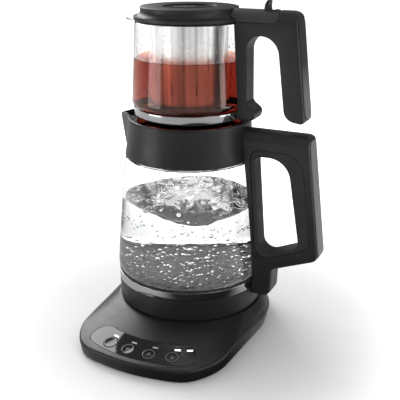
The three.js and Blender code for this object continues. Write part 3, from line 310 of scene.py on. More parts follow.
class Look(Wires):
    """A material of nodes round one Principled shader."""

    def __init__(self, name, colour, roughness, metallic=0.0):
        self.material = bpy.data.materials.new(name)
        super().__init__(self.material)
        self.shader = self.nodes["Principled BSDF"]
        self.colour = colour
        self.fill(self.shader, {"Base Color": (*colour, 1), "Roughness": roughness, "Metallic": metallic})

    def set(self, socket, value):
        self.fill(self.shader, {socket: value})

    def straight(self, stretch=(1, 1, 1)):
        place = self.add("TexCoord").outputs["Object"]
        return self.add("Mapping", {"Vector": place, "Scale": stretch}).outputs["Vector"]

    def turned(self, around, outwards, upright):
        """Coordinates round the kettle's axis: the angle from the front, the radius and the height."""
        place = self.add("TexCoord").outputs["Object"]
        place = self.add("VectorMath", {0: place, 1: (*AXIS, 0)}, operation="SUBTRACT").outputs[0]
        x, y, z = self.add("SeparateXYZ", {0: place}).outputs
        angle = self.math("ARCTAN2", x, self.math("MULTIPLY", y, -1))
        flat = self.add("CombineXYZ", {"X": x, "Y": y}).outputs[0]
        reach = self.add("VectorMath", {0: flat}, operation="LENGTH").outputs["Value"]
        place = self.add("CombineXYZ", {"X": angle, "Y": reach, "Z": z}).outputs[0]
        return self.add("Mapping", {"Vector": place, "Scale": (around, outwards, upright)}).outputs["Vector"]

    def noise(self, place, scale, detail=3.0):
        return self.add("TexNoise", {"Vector": place, "Scale": scale, "Detail": detail}).outputs["Fac"]

    def mottle(self, amount, place, scale, detail=3.0, other=None):
        """Varies the colour between two tones."""
        dark = [c * (1 - amount) for c in self.colour]
        light = other or [min(c * (1 + amount), 1) for c in self.colour]
        self.set("Base Color", self.ramp(self.noise(place, scale, detail), 0.32, 0.68, dark, light))

    def sheen_range(self, smoothest, roughest, place, scale):
        """Varies the roughness."""
        self.set("Roughness", self.span(self.noise(place, scale), 0.3, 0.7, smoothest, roughest, "LINEAR"))

    def grain(self, place, scale, strength, distance=0.0002, edge=0.0):
        """A fine relief, and edges that catch the light over a radius of edge metres."""
        relief = {"Height": self.noise(place, scale), "Strength": strength, "Distance": distance}
        if edge:
            relief["Normal"] = self.add("Bevel", {"Radius": edge}, samples=4).outputs[0]
        self.set("Normal", self.add("Bump", relief).outputs[0])


def moulded(name, tone, smoothest, roughest, edge=0.0006, relief=0.12):
    look = Look(name, tone, roughest)
    place = look.straight()
    look.mottle(0.1, place, 60)
    look.sheen_range(smoothest, roughest, place, 90)
    look.grain(place, 2600, relief, 0.00012, edge)
    return look


def clear(name, colour, ior, relief=0.02, scale=40):
    look = Look(name, colour, 0.0)
    look.set("Transmission Weight", 1.0)
    look.set("IOR", ior)
    place = look.straight()
    look.mottle(0.015, place, 25)
    look.grain(place, scale, relief, 0.0004)
    return look


def rim_shade_painted(look, dark, first=0.62, last=0.97):
    """Paints shade into the colour of clear glass where it is seen at a glancing angle, as dark rims."""
    facing = look.add("LayerWeight", {"Blend": 0.5}).outputs["Facing"]
    look.set("Base Color", look.ramp(facing, first, last, (1, 1, 1), [dark] * 3))
    return look


def make_looks():
    looks = {
        "charcoal": moulded("charcoal_plastic", (0.021, 0.021, 0.0215), 0.36, 0.46),
        "base": moulded("base_plastic", (0.016, 0.016, 0.0165), 0.34, 0.42),
        "handle": moulded("handle_plastic", (0.033, 0.033, 0.0335), 0.34, 0.44),
        "soft": moulded("soft_grip_plastic", (0.040, 0.040, 0.041), 0.55, 0.68, 0.0008, 0.3),
        "lid": moulded("lid_plastic", (0.030, 0.030, 0.031), 0.40, 0.5),
        # The lid arm gets a lighter copy of the lid's plastic, which paints the light falling on it.
        "arm": moulded("arm_plastic_painted_light", (0.075, 0.075, 0.076), 0.40, 0.5),
        "inside": moulded("inner_plastic", (0.012, 0.012, 0.012), 0.45, 0.6),
        "gloss": moulded("gloss_plastic", (0.0045, 0.0045, 0.005), 0.03, 0.055, 0.0004, 0.01),
        "key": moulded("key_plastic", (0.0055, 0.0055, 0.006), 0.08, 0.13, 0.0003, 0.02),
        "print": moulded("print_ink", (0.34, 0.34, 0.35), 0.5, 0.6, 0.0001, 0.02),
        "rubber": moulded("black_rubber", (0.012, 0.012, 0.012), 0.75, 0.9, 0.0004, 0.4),
        "silicone": moulded("grey_silicone", (0.03, 0.03, 0.031), 0.45, 0.6, 0.0004, 0.1),
        "component": moulded("component_body", (0.05, 0.05, 0.055), 0.4, 0.55),
    }
    strip = moulded("handle_strip", (0.03, 0.03, 0.031), 0.1, 0.16, 0.0004, 0.02)
    strip.set("Coat Weight", 0.6)
    strip.set("Coat Roughness", 0.06)
    looks["strip"] = strip

    band = Look("polished_dark_band", (0.5, 0.5, 0.51), 0.06, 1.0)
    band.mottle(0.06, band.turned(3, 10, 900), 1.0)
    band.sheen_range(0.06, 0.12, band.turned(3, 10, 2500), 1.0)
    band.grain(band.turned(2, 10, 5000), 1.0, 0.02, 0.0001, 0.0004)
    looks["band"] = band

    plate = Look("scaled_steel_plate", (0.07, 0.07, 0.07), 0.6)
    plate.mottle(0.6, plate.straight(), 230, 8.0, (0.26, 0.26, 0.255))
    plate.set("Specular IOR Level", 0.15)
    plate.sheen_range(0.45, 0.65, plate.straight(), 500)
    plate.grain(plate.turned(2, 900, 1), 1.0, 0.15, 0.0002)
    looks["plate"] = plate

    basket = Look("streaked_steel", (0.4, 0.4, 0.4), 0.3, 1.0)
    basket.mottle(0.5, basket.turned(4.2, 1, 3), 1.0, 2.0, (0.9, 0.9, 0.89))
    basket.sheen_range(0.25, 0.4, basket.turned(14, 1, 9), 1.0)
    basket.grain(basket.straight(), 900, 0.25, 0.0006)
    looks["basket"] = basket

    steel = Look("brushed_steel", (0.6, 0.6, 0.6), 0.3, 1.0)
    steel.mottle(0.15, steel.straight((1, 1, 8)), 160)
    steel.sheen_range(0.22, 0.34, steel.straight((1, 1, 8)), 300)
    steel.grain(steel.straight((1, 1, 12)), 700, 0.08)
    looks["steel"] = steel

    dark = Look("oxidised_steel", (0.12, 0.115, 0.11), 0.45, 1.0)
    dark.mottle(0.3, dark.straight(), 220)
    dark.sheen_range(0.35, 0.55, dark.straight(), 300)
    dark.grain(dark.straight(), 900, 0.2)
    looks["dark_steel"] = dark

    board = Look("circuit_board", (0.02, 0.09, 0.045), 0.4)
    board.mottle(0.3, board.straight((1, 6, 1)), 260, 2.0, (0.05, 0.17, 0.08))
    board.sheen_range(0.3, 0.5, board.straight(), 200)
    board.grain(board.straight((6, 1, 1)), 300, 0.2)
    looks["board"] = board

    # The unlit pipes still glow faintly: a painted glow, for they are not lit.
    for name, strength in (("lit", 2.4), ("unlit_painted_glow", 0.12)):
        pipe = moulded(f"light_pipe_{name}", (0.5, 0.5, 0.5), 0.2, 0.3, 0.0001, 0.05)
        pipe.set("Emission Color", (0.93, 0.96, 1.0, 1))
        pipe.set("Emission Strength", strength)
        looks[name] = pipe

    # Glass, drops and bubbles get painted shade at their rims.
    looks["glass"] = rim_shade_painted(clear("clear_glass", (1, 1, 1), 1.46), 0.35)
    looks["drop"] = rim_shade_painted(clear("water_drop", (1, 1, 1), 1.33), 0.3, 0.3, 0.9)
    looks["bubble"] = rim_shade_painted(clear("steam_bubble", (1, 1, 1), 1.33), 0.05, 0.3, 0.85)
    looks["water"] = clear("boiling_water", (0.96, 0.975, 0.975), 1.33, 0.3, 90)

    tea = clear("black_tea", (1, 1, 1), 1.06, 0.05, 60)
    # The skin of the tea is tinted next to the glass and clear next to the basket
    reach = tea.add("SeparateXYZ", {0: tea.turned(1, 10, 1)}).outputs["Y"]
    tea.set("Base Color", tea.ramp(reach, 0.45, 0.52, (1, 1, 1), (0.72, 0.42, 0.32)))
    soak = tea.add("VolumeAbsorption", {"Color": (0.765, 0.47, 0.41, 1), "Density": 85})
    out = next(node for node in tea.nodes if node.type == "OUTPUT_MATERIAL")
    tea.fill(out, {"Volume": soak.outputs[0]})
    looks["tea"] = tea
    return {name: look.material for name, look in looks.items()}


LOOKS = make_looks()


def paint(piece, look):
    piece.data.materials.clear()
    piece.data.materials.append(LOOKS[look])


def dress(piece, body, slot, look, *nodes):
    paint(piece, look)
    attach(piece, body)
    if nodes:
        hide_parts(*nodes)
    return piece


# Base

FRONT_RADIUS = 144.99
CORNER_RADIUS = 55.0
REAR_RADIUS = 91.7
EDGE_ROUND = 3.0
WALL = 3.0
SEAT_HEIGHT = 31.7
SEAT_RADIUS = 79
SLOPE_START = 82
CONNECTOR_HOLE = 17.3
WALL_FOOT = 1.2


def outline_radius(angle):
    """Distance from the kettle's axis to the base's plan outline of tangent arcs."""
    turn = math.radians(off_front(angle))
    tangent = math.radians(20.5)
    if turn <= tangent:
        return FRONT_RADIUS
    reach = FRONT_RADIUS - CORNER_RADIUS
    side_normal = tangent + math.acos((REAR_RADIUS - CORNER_RADIUS) / reach)
    corner_end = math.atan2(
        reach * math.sin(tangent) + CORNER_RADIUS * math.sin(side_normal),
        reach * math.cos(tangent) + CORNER_RADIUS * math.cos(side_normal),
    )
    if turn <= corner_end:
        along = reach * math.cos(turn - tangent)
        return along + math.sqrt(CORNER_RADIUS ** 2 - reach ** 2 + along ** 2)
    return REAR_RADIUS / math.cos(side_normal - turn) if turn < side_normal else REAR_RADIUS


def side_share(angle):
    """0 along the wide front and 1 at the narrow sides and the rear."""
    return (FRONT_RADIUS - outline_radius(angle)) / (FRONT_RADIUS - REAR_RADIUS)


def rim_radius(angle):
    """The outline with its fuller front corners."""
    return outline_radius(angle) + 3 * math.exp(-((off_front(angle) - 23) / 9) ** 2)


def edge_height(angle):
    return 14.3 + 7.7 * side_share(angle)


def skirt_top(angle):
    return 10.4 + 6.1 * side_share(angle)


def draft(angle):
    """How far the wall leans in at its foot: least at the front, most along the sides."""
    knots = ((0, 0.6), (18, 0.8), (48, 3.4), (120, 3.4), (155, 1.4), (180, 1.4))
    return eased(knots, off_front(angle))


def slope_height(radius, angle):
    edge = outline_radius(angle) - EDGE_ROUND
    share = max(0.0, min(1.0, (edge - radius) / (edge - SLOPE_START)))
    low = edge_height(angle)
    return low + (SEAT_HEIGHT - low) * share ** blend(1.2, 0.8, side_share(angle))


def slope_frame(radius, angle):
    tilt = math.atan((slope_height(radius - 3, angle) - slope_height(radius + 3, angle)) / 6)
    place = polar(radius, angle, slope_height(radius, angle))
    return shift(*place) @ spin(angle) @ spin(math.degrees(tilt), "X")


def ring_at(radius_at, height_at):
    return [polar(radius_at(a), a, height_at(radius_at(a), a)) for a in turns(AROUND)]


def slope_ring(share, inset):
    def radius_at(angle):
        return blend(SLOPE_START, rim_radius(angle) - EDGE_ROUND, share) - inset
    return ring_at(radius_at, lambda r, a: slope_height(r + inset, a) - inset)


def flat_ring(radius, height):
    return ring_at(lambda a: radius, lambda r, a: height)


def fold_ring(share):
    """A ring of the soft fold between the slope and the wall."""
    def height_at(radius, angle):
        edge = edge_height(angle)
        fall = (slope_height(outline_radius(angle) - EDGE_ROUND - 2, angle) - edge) / 2
        corner = max(skirt_top(angle) + 0.3, edge - EDGE_ROUND * fall)
        return bent(edge, corner, skirt_top(angle), share)
    return ring_at(lambda a: rim_radius(a) - EDGE_ROUND * (1 - share) ** 2, height_at)


def wall_ring(height, extra=0.0):
    """A ring of the wall, which leans in towards its foot."""
    def radius_at(angle):
        top = skirt_top(angle)
        return rim_radius(angle) - extra - draft(angle) * (top - height) / (top - WALL_FOOT)
    return ring_at(radius_at, lambda r, a: height)


GLAND = (0, REAR_RADIUS, 7.6)
PANEL_RING = 124.0
BUTTON_RING = PANEL_RING + 3.5
LIGHT_RING = PANEL_RING - 6.2
BUTTONS = (("power", -14.9, 7.75), ("warm", -4.4, 7.0), ("boil", 6.5, 7.0), ("brew", 17.6, 7.0))
LIGHTS = (-15.4, -3.6, 8.3, 19.7, 25.8)


def panel_slab(name, grow, above, below):
    """An arc with round ends, whose faces follow the slope."""
    half = 13.5 + grow
    end = math.degrees(half / PANEL_RING)
    first = -28.5 - math.degrees(grow / PANEL_RING)
    last = 29.3 + math.degrees(grow / PANEL_RING)
    caps = [0.004, 0.02, 0.06, 0.12, 0.2, 0.32, 0.5, 0.75]
    angles = [first + end * s for s in caps]
    angles += spread(first + end, last - end, 97)
    angles += [last - end * s for s in reversed(caps)]
    rings = []
    for angle in angles:
        from_end = min(angle - first, last - angle, end) / end
        reach = half * math.sqrt(1 - (1 - from_end) ** 2)
        radii = [PANEL_RING + reach * s for s in spread(-1, 1, 9)]
        top = [polar(r, angle, slope_height(r, angle) + above) for r in radii]
        bottom = [polar(r, angle, slope_height(r, angle) - below) for r in reversed(radii)]
        rings.append(top + bottom)
    return loft(name, rings, False)


def panel_openings():
    cuts = []
    for name, angle, radius in BUTTONS:
        reach = radius + GAP
        corners = rectangle(-reach, -reach, reach, reach, reach - 0.001)
        cuts.append(moved(upwards("cut", corners, -9, 6, 16), slope_frame(BUTTON_RING, angle)))
    corners = rectangle(-3.3, -1.1, 3.3, 1.1, 0.5)
    for angle in LIGHTS:
        cuts.append(moved(upwards("cut", corners, -9, 6, 3), slope_frame(LIGHT_RING, angle)))
    return cuts


def make_base():
    rings = [flat_ring(CONNECTOR_HOLE, SEAT_HEIGHT), flat_ring(SEAT_RADIUS, SEAT_HEIGHT)]
    rings += [slope_ring(s, 0) for s in spread(0, 1, 26)]
    rings += [fold_ring(s) for s in spread(0, 1, 9)[1:]]
    rings += [wall_ring(z) for z in (8, 5, 1.8)]
    rings += [wall_ring(1.35, 0.2), wall_ring(WALL_FOOT, 0.5), wall_ring(WALL_FOOT, WALL)]
    rings += [ring_at(lambda a: rim_radius(a) - WALL, lambda r, a: skirt_top(a) - WALL)]
    rings += [slope_ring(s, WALL) for s in spread(1, 0, 10)]
    rings += [flat_ring(CONNECTOR_HOLE, SEAT_HEIGHT - WALL)]
    housing = loft("base_housing_shell", rings, True)
    cord_hole = moved(rod_y("cut", 5.1, 6, 0, 0), shift(*GLAND))
    combine(housing, "DIFFERENCE", panel_slab("cut", GAP, 6, 1.7), *panel_openings(), cord_hole)
    dress(housing, "base", "plastic", "base", "base_housing")

    panel = panel_slab("glossy_panel", 0, 0, 1.4)
    combine(panel, "DIFFERENCE", *panel_openings())
    dress(panel, "base", "gloss_plastic", "gloss", "control_panel")
    make_cover()


FEET = ((70, -62), (-70, -62), (56, 52), (-56, 52))
SCREWS = ((58, -98), (-58, -98), (68, 20), (-68, 20))


def make_cover():
    """The bottom cover inside the wall's foot, with the posts under the boards."""
    low_ring = wall_ring(WALL_FOOT, WALL + GAP)
    cover = loft("bottom_cover_plate", [low_ring, [(x, y, 4.2) for x, y, z in low_ring]], False)
    foot_pocket = [(0, -1), (7.3, -1), (7.3, 2.7), (0, 2.7)]
    screw_pocket = [(0, -1), (3.5, -1), (3.5, 2.9), (1.8, 2.9), (1.8, 6), (0, 6)]
    for places, pocket, around in ((FEET, foot_pocket, 48), (SCREWS, screw_pocket, 32)):
        for x, y in places:
            combine(cover, "DIFFERENCE", moved(lathe("cut", pocket, around), shift(x, y)))
    posts = [(*polar(123.5, angle, 0)[:2], 7.2) for angle in (-11, 5, 22)]
    posts += [(x, y, 7.7) for x in (-29, 29) for y in (43, 69)]
    for x, y, top in posts:
        post = lathe("post", [(0, 3), (2.6, 3), (2.6, top), (0, top)], 32)
        combine(cover, "UNION", moved(post, shift(x, y)))
    dress(cover, "base", "plastic", "inside", "base_bottom_cover")


def button_dish(reach, radius):
    """The shallow dish in the top of a button of this radius."""
    return -0.05 + 0.35 * (reach / (radius - 1)) ** 2


def make_buttons():
    for name, angle, radius in BUTTONS:
        profile = [(0, -0.05)] + [(r, button_dish(r, radius)) for r in spread(1, radius - 1, 8)]
        profile += [(radius - 0.5, 0.3), (radius - 0.15, 0.15), (radius, -0.2), (radius, -2.6)]
        profile += [(1.8, -2.6), (1.8, -3.0), (0, -3.0)]
        cap = moved(lathe(f"{name}_button_cap", profile, 64), slope_frame(BUTTON_RING, angle))
        dress(cap, f"{name}_key", "gloss_plastic", "key", f"{name}_button")


def ribbon(points, width, closed, height_at):
    """Rows of four points round a thin printed line."""
    count = len(points)
    rows = []
    for i, (x, y) in enumerate(points):
        before = points[i - 1] if closed or i > 0 else points[i]
        after = points[(i + 1) % count] if closed or i < count - 1 else points[i]
        way = Vector((after[0] - before[0], after[1] - before[1])).normalized()
        side = Vector((-way.y, way.x)) * width / 2
        left, right = (x + side.x, y + side.y), (x - side.x, y - side.y)
        rows.append([(*left, height_at(*left) + 0.03), (*right, height_at(*right) + 0.03),
                     (*right, height_at(*right)), (*left, height_at(*left))])
    return rows


def icon_lines(name):
    """Lines of a button's icon, each with whether it is closed."""
    if name == "power":
        return [(circle(0, 0, 1.9, 120, 420), False), ([(0, 0.7), (0, 2.5)], False)]
    if name == "warm":
        wave = [(0.35 * math.sin(t * 2.4), t - 1.8) for t in spread(0, 3.6, 13)]
        return [([(x + u, v) for u, v in wave], False) for x in (-1.3, 0, 1.3)]
    if name == "boil":
        bubbles = ((-0.8, -0.7, 1.0), (1.1, 0.3, 0.75), (-0.3, 1.6, 0.5))
        return [(circle(*bubble)[:-1], True) for bubble in bubbles]
    drop = circle(0, -0.5, 1.3, 160, 380, 15)
    return [(drop + [(0, 2.3)], True), ([(-0.5, -0.6), (0, -1.1), (0.5, -0.6)], False)]


def make_icons():
    for name, angle, radius in BUTTONS:
        points, faces = [], []
        def height_at(x, y):
            return 0.01 + button_dish(math.hypot(x, y), radius)

        # A light printed ring round each button paints the highlight on the button's edge.
        edge_highlight_ring = (circle(0, 0, radius - 0.85, count=49)[:-1], True)
        for line, closed in icon_lines(name) + [edge_highlight_ring]:
            rows = ribbon(line, 0.42, closed, height_at)
            faces += loop_faces(len(rows), 4, closed, len(points))
            points += [point for row in rows for point in row]
        icon = moved(build(f"{name}_icon", points, faces), slope_frame(BUTTON_RING, angle))
        dress(icon, f"{name}_key", "gloss_plastic", "print")


def nearest_node(prefix, x, y):
    spot = Vector(world(x, y, 0))
    names = [name for name in frame["nodes"] if name.startswith(prefix)]

    def distance(name):
        lows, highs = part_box(name)
        middle = (lows + highs) / 2
        return math.hypot(middle.x - spot.x, middle.y - spot.y)
    return min(names, key=distance)


def make_small_base_parts():
    nodes = frame["nodes"]
    for i, look in enumerate(("lit", "unlit_painted_glow", "unlit_painted_glow", "lit", "lit")):
        paint(nodes[f"indicator_light_{i + 1}"], look)
    plain = {
        "base_connector": "inside", "kettle_connector": "inside",
        "control_board": "board", "power_board": "board", "power_relay": "component",
        "heating_element": "dark_steel", "spout_strainer": "steel", "lid_hinge_pin": "steel",
        "temperature_sensor": "steel",
    }
    plain.update({f"{name}_switch": "component" for name, angle, radius in BUTTONS})
    for node, look in plain.items():
        paint(nodes[node], look)

    pad = [(0, 0), (5.9, 0), (6.6, 0.2), (7, 0.7), (7, 2.4), (0, 2.4)]
    for i, (x, y) in enumerate(FEET):
        foot = moved(lathe(f"rubber_foot_{i + 1}", pad, 48), shift(x, y))
        dress(foot, "base", "rubber", "rubber", nearest_node("base_foot_", x, y))
    head = [(0, 1.3), (2.9, 1.2), (3.2, 1.5), (3.2, 2.6), (1.5, 2.6), (1.5, 12.6), (0, 12.6)]
    for i, (x, y) in enumerate(SCREWS):
        screw = lathe(f"cover_screw_{i + 1}", head, 32)
        for turn in (0, 90):
            slot = box_of("cut", (-2, -0.35, -1), (2, 0.35, 2.0))
            combine(screw, "DIFFERENCE", moved(slot, spin(turn)))
        dress(moved(screw, shift(x, y)), "base", "steel", "steel", nearest_node("base_screw_", x, y))
    ring = [(3.5, -5.5), (4.8, -5.5), (4.8, 0.3), (5.8, 0.3), (5.8, 1.4), (5.4, 1.8), (3.9, 1.8), (3.5, 1.4)]
    gland = moved(lathe("cord_gland_ring", ring, 48), shift(*GLAND) @ spin(-90, "X"))
    dress(gland, "base", "rubber", "rubber", "cord_gland")


# Kettle

KETTLE_GLASS = 2.4
COLLAR_WALL = 2.4
COLLAR_FOOT = 196.7
COLLAR_TOP = 236.7


def kettle_radius(height):
    """Radius of the glass's outside from the belly to the shoulder."""
    share = (height - 76) / 118.8
    return blend(81.2, 70, share) + 3 * share * (1 - share)


def kettle_side(inset):
    return side(kettle_radius, inset, 76, 194.8, 22)


def collar_radius(height):
    return bent(70.2, 66.3, 65.9, (height - COLLAR_FOOT) / (COLLAR_TOP - COLLAR_FOOT))


def make_kettle():
    foot = rounded([
        (78.8, 32, 0), (78.8, 33.2, 0), (80, 33.2, 0.4), (80.7, 55.8, 0.3), (79.1, 55.8, 0), (79.1, 64.2, 0),
        (76.9, 64.2, 0), (76.9, 37.2, 0), (20.3, 37.2, 0), (20.3, 35, 0), (62, 35, 0), (62, 32, 0.4),
        (65, 32, 0.4), (65, 35, 0), (76.9, 35, 0), (76.9, 32, 0)])
    dress(lathe("kettle_foot_shell", foot), "kettle", "plastic", "charcoal", "kettle_foot")
    band = rounded([(79.4, 56.1, 0), (80.9, 56.1, 0.25), (81.2, 65.4, 0.35), (79.4, 65.4, 0)])
    dress(lathe("polished_band", band), "kettle", "dark_steel", "band", "kettle_metal_band")
    plate = [(3.5, 64.5), (79.1, 64.5), (79.1, 65.9), (3.5, 65.9)]
    dress(lathe("water_plate", plate), "kettle", "steel", "plate", "heating_plate")
    gasket = rounded([(74.8, 66.2, 0.3), (80.4, 66.2, 0.4), (80.4, 67.5, 0.4), (74.8, 67.5, 0.3)], 0, 4)
    dress(lathe("glass_gasket", gasket), "kettle", "silicone", "silicone", "plate_gasket")

    profile = [(77.3, 68.2), (77.8, 67.8), (79.0, 67.8), (79.7, 68.5), (80.4, 69.9), (80.9, 71.6)]
    profile += [(81.15, 73.6)] + kettle_side(0) + [(68.8, 195.9), (67.7, 196.4)]
    profile += side(collar_radius, 2.7, 197, 226, 8) + side(collar_radius, 5.1, 226, 197, 8)
    profile += kettle_side(KETTLE_GLASS)[::-1] + [(78.6, 73.6), (78.2, 71.4), (77.6, 69.4)]
    dress(lathe("kettle_glass_body", profile, 192), "kettle", "glass", "glass", "kettle_glass")

    make_collar()
    ring = rounded([(52.5, 226.3, 0.4), (63, 226.3, 0.4), (63, 228.9, 0.6), (52.5, 228.9, 0.6)], 0, 4)
    seat = lathe("seat_ring_pad", ring)
    for i in range(10):
        vent = box_of("cut", (54.6, -1.7, 220), (60.4, 1.7, 232))
        combine(seat, "DIFFERENCE", moved(vent, spin(36 * (i + 0.5))))
    dress(seat, "kettle", "silicone", "silicone", "teapot_seat_ring")


def make_collar():
    profile = [(70.0, COLLAR_FOOT)] + side(collar_radius, 0, 197.1, 236.2, 16)
    profile += [(65.75, 236.5), (65.4, COLLAR_TOP), (63.9, COLLAR_TOP), (63.6, 236.5)]
    profile += side(collar_radius, COLLAR_WALL, 236.2, COLLAR_FOOT, 12)
    collar = lathe("collar_shell", profile, 192)
    slab_side = [(-56, COLLAR_TOP, 0), (-66.4, COLLAR_TOP, 2.5), (-84.6, 232.4, 1.2), (-82.8, 226.5, 2),
                 (-68, 201, 3), (-56, 201, 0)]
    plan = [(-86.2, 0, 4), (-56, 32.5, 0), (-56, -32.5, 0)]
    beak = upwards("beak", plan, 201, 243, 16)
    combine(beak, "INTERSECT", across_y("cut", slab_side, [(-80, 0), (80, 0)], 8))
    bore = [(0, 196)] + side(collar_radius, COLLAR_WALL, COLLAR_FOOT, COLLAR_TOP, 8) + [(63.5, 243), (0, 243)]
    combine(beak, "DIFFERENCE", lathe("cut", bore, 192))
    combine(collar, "UNION", beak)
    slant = 2.6 / math.sin(math.atan(32.5 / 30.2))
    inner_plan = [(x + slant, y, radius) for x, y, radius in plan]
    combine(collar, "DIFFERENCE", upwards("cut", inner_plan, 229.2, 243, 16))
    dress(collar, "kettle", "plastic", "charcoal", "kettle_collar")


# Handles

CROWN_ANGLES = [math.radians(a) for a in (0, 8, 16, 26, 36, 48, 60, 72, 82, 90)]
CROWN = [(math.sin(t), math.cos(t)) for t in CROWN_ANGLES]
HANDLE_HALF = 12.8
KETTLE_RIDGE = 231.5
LID_TOP = 350.4
HINGE = (93.5, 344.5)


def crowned(name, corners, grow=0.0):
    """A handle's side view across Y: its faces are crowned towards both sides."""
    sections = [(8.4 + 4.4 * c, 1.8 * s - 1.8 + grow) for s, c in CROWN]
    both = [(-y, g) for y, g in sections] + [(y, g) for y, g in reversed(sections)]
    return across_y(name, corners, both, 10)


def ridge_prism(ridge, half=HANDLE_HALF, bottom=0.0):
    corner = half - 0.001
    corners = [(-half, bottom, 0), (half, bottom, 0), (half, ridge, corner), (-half, ridge, corner)]
    return along_x("cut", corners, 0, 160, 32)


def window(half, bottom, top, x_low, x_high):
    return along_x("cut", rectangle(-half, bottom, half, top, half - 0.001), x_low, x_high, 20)


def inlaid(name, bar, proud, deep, place):
    """A skin of the handle's crowned face, seen through a window with round ends."""
    skin = crowned(name, bar, proud)
    combine(skin, "INTERSECT", window(*place))
    return combine(skin, "DIFFERENCE", crowned("cut", bar, proud - deep))


def recess(bar, depth, place):
    half, bottom, top, x_low, x_high = place
    pocket = window(half + GAP, bottom - GAP, top + GAP, x_low, x_high)
    return combine(pocket, "DIFFERENCE", crowned("cut", bar, -depth - GAP))


KETTLE_FRAME = [(58, KETTLE_RIDGE, 0), (136.2, KETTLE_RIDGE, 9), (152.6, 99.8, 9), (102.6, 80.6, 6),
                (101.4, 48, 9), (58, 48, 0)]
KETTLE_BAY = [(74.2, 211.6, 10), (131, 211.6, 24), (143, 112.4, 9), (82.8, 87.4, 12)]
KETTLE_HOLE = [(78, 203.6, 8), (114.4, 203.6, 23), (130, 111.2, 9), (86.8, 93, 12)]
KETTLE_BAR = [(100, KETTLE_RIDGE, 9), (136.2, KETTLE_RIDGE, 9), (152.6, 99.8, 9), (102.6, 80.6, 9)]
# Half width, bottom, top and reach in X of the inlays
KETTLE_STRIP = (10.8, 99.4, 227.6, 124, 200)
TEAPOT_FRAME = [(46, LID_TOP, 0), (118.2, LID_TOP, 9), (131.6, 241.4, 5), (109.2, 244.6, 13),
                (99, 325.4, 19), (67.2, 325.4, 14.5), (68.6, 258, 6), (79.4, 250, 6), (76.6, 240.6, 5),
                (46, 240.6, 0)]
TEAPOT_BAR = [(95.9, LID_TOP, 9), (118.2, LID_TOP, 9), (131.6, 241.4, 5), (109.2, 244.6, 13)]
TEAPOT_STRIP = (10.8, 246.4, 346.4, 116.4, 200)
TEAPOT_GRIP = (8, 254, 308, 94.8, 113)


def make_kettle_handle():
    body = crowned("kettle_handle_shell", KETTLE_FRAME)
    combine(body, "INTERSECT", ridge_prism(KETTLE_RIDGE))
    envelope = [(0, 0), (81, 0), (81, 55.8), (81.5, 55.8), (81.5, 76)] + kettle_side(-GAP)
    envelope += side(collar_radius, -GAP, COLLAR_FOOT, COLLAR_TOP, 12) + [(66.2, 242), (0, 242)]
    bay = across_y("cut", KETTLE_BAY, [(-19, 0), (19, 0)], 16)
    combine(body, "DIFFERENCE", lathe("cut", envelope, 192), bay, recess(KETTLE_BAR, 1.1, KETTLE_STRIP))
    dress(body, "kettle", "plastic", "handle", "kettle_handle_frame")

    strip = inlaid("kettle_handle_inlay", KETTLE_BAR, 0.45, 1.55, KETTLE_STRIP)
    dress(strip, "kettle", "gloss_plastic", "strip", "kettle_handle_strip")

    flare = [(7.8 + 5 * c, 3.4 * (1 - s)) for s, c in CROWN]
    levels = [(-y, g) for y, g in flare] + [(y, g) for y, g in reversed(flare)]
    outlines = [(-HANDLE_HALF, KETTLE_BAY, -0.7)] + [(y, KETTLE_HOLE, g) for y, g in levels]
    outlines += [(HANDLE_HALF, KETTLE_BAY, -0.7), (12.4, KETTLE_BAY, -GAP), (-12.4, KETTLE_BAY, -GAP)]
    rings = [[(x, y, z) for x, z in rounded(corners, grow, 10)] for y, corners, grow in outlines]
    liner = loft("handle_liner_ring", rings, True)
    dress(liner, "kettle", "soft_plastic", "soft", "kettle_handle_liner")
    columns = (-6.3, -3.1, 0, 3.1, 6.3)
    make_dots("kettle_finger_dots", "kettle", KETTLE_HOLE[1:3], 26, 15, columns, 4.4, 1.6)


def make_dots(name, body, edge, first, rows, columns, pitch, size):
    """Rows of raised dots along the finger side of a handle, whose edge runs from one point to another."""
    top, bottom = (Vector(corner[:2]) for corner in edge)
    way = (bottom - top).normalized()
    inwards = Vector((-way.y, way.x)) if way.y > 0 else Vector((way.y, -way.x))
    points, faces = [], []
    for row in range(rows):
        for c, column in enumerate(columns):
            spot = top + way * (first + pitch * (row + c % 2 / 2))
            faces += loop_faces(4, 12, False, len(points))
            for radius, lift in ((1, -0.15), (0.88, 0.25), (0.6, 0.45), (0.24, 0.56)):
                for u, v in circle(0, 0, size * radius, count=13)[:-1]:
                    place = spot + way * u + inwards * size * lift
                    points.append((place.x, column + v, place.y))
    dress(build(name, points, faces, 60), body, "soft_plastic", "soft")


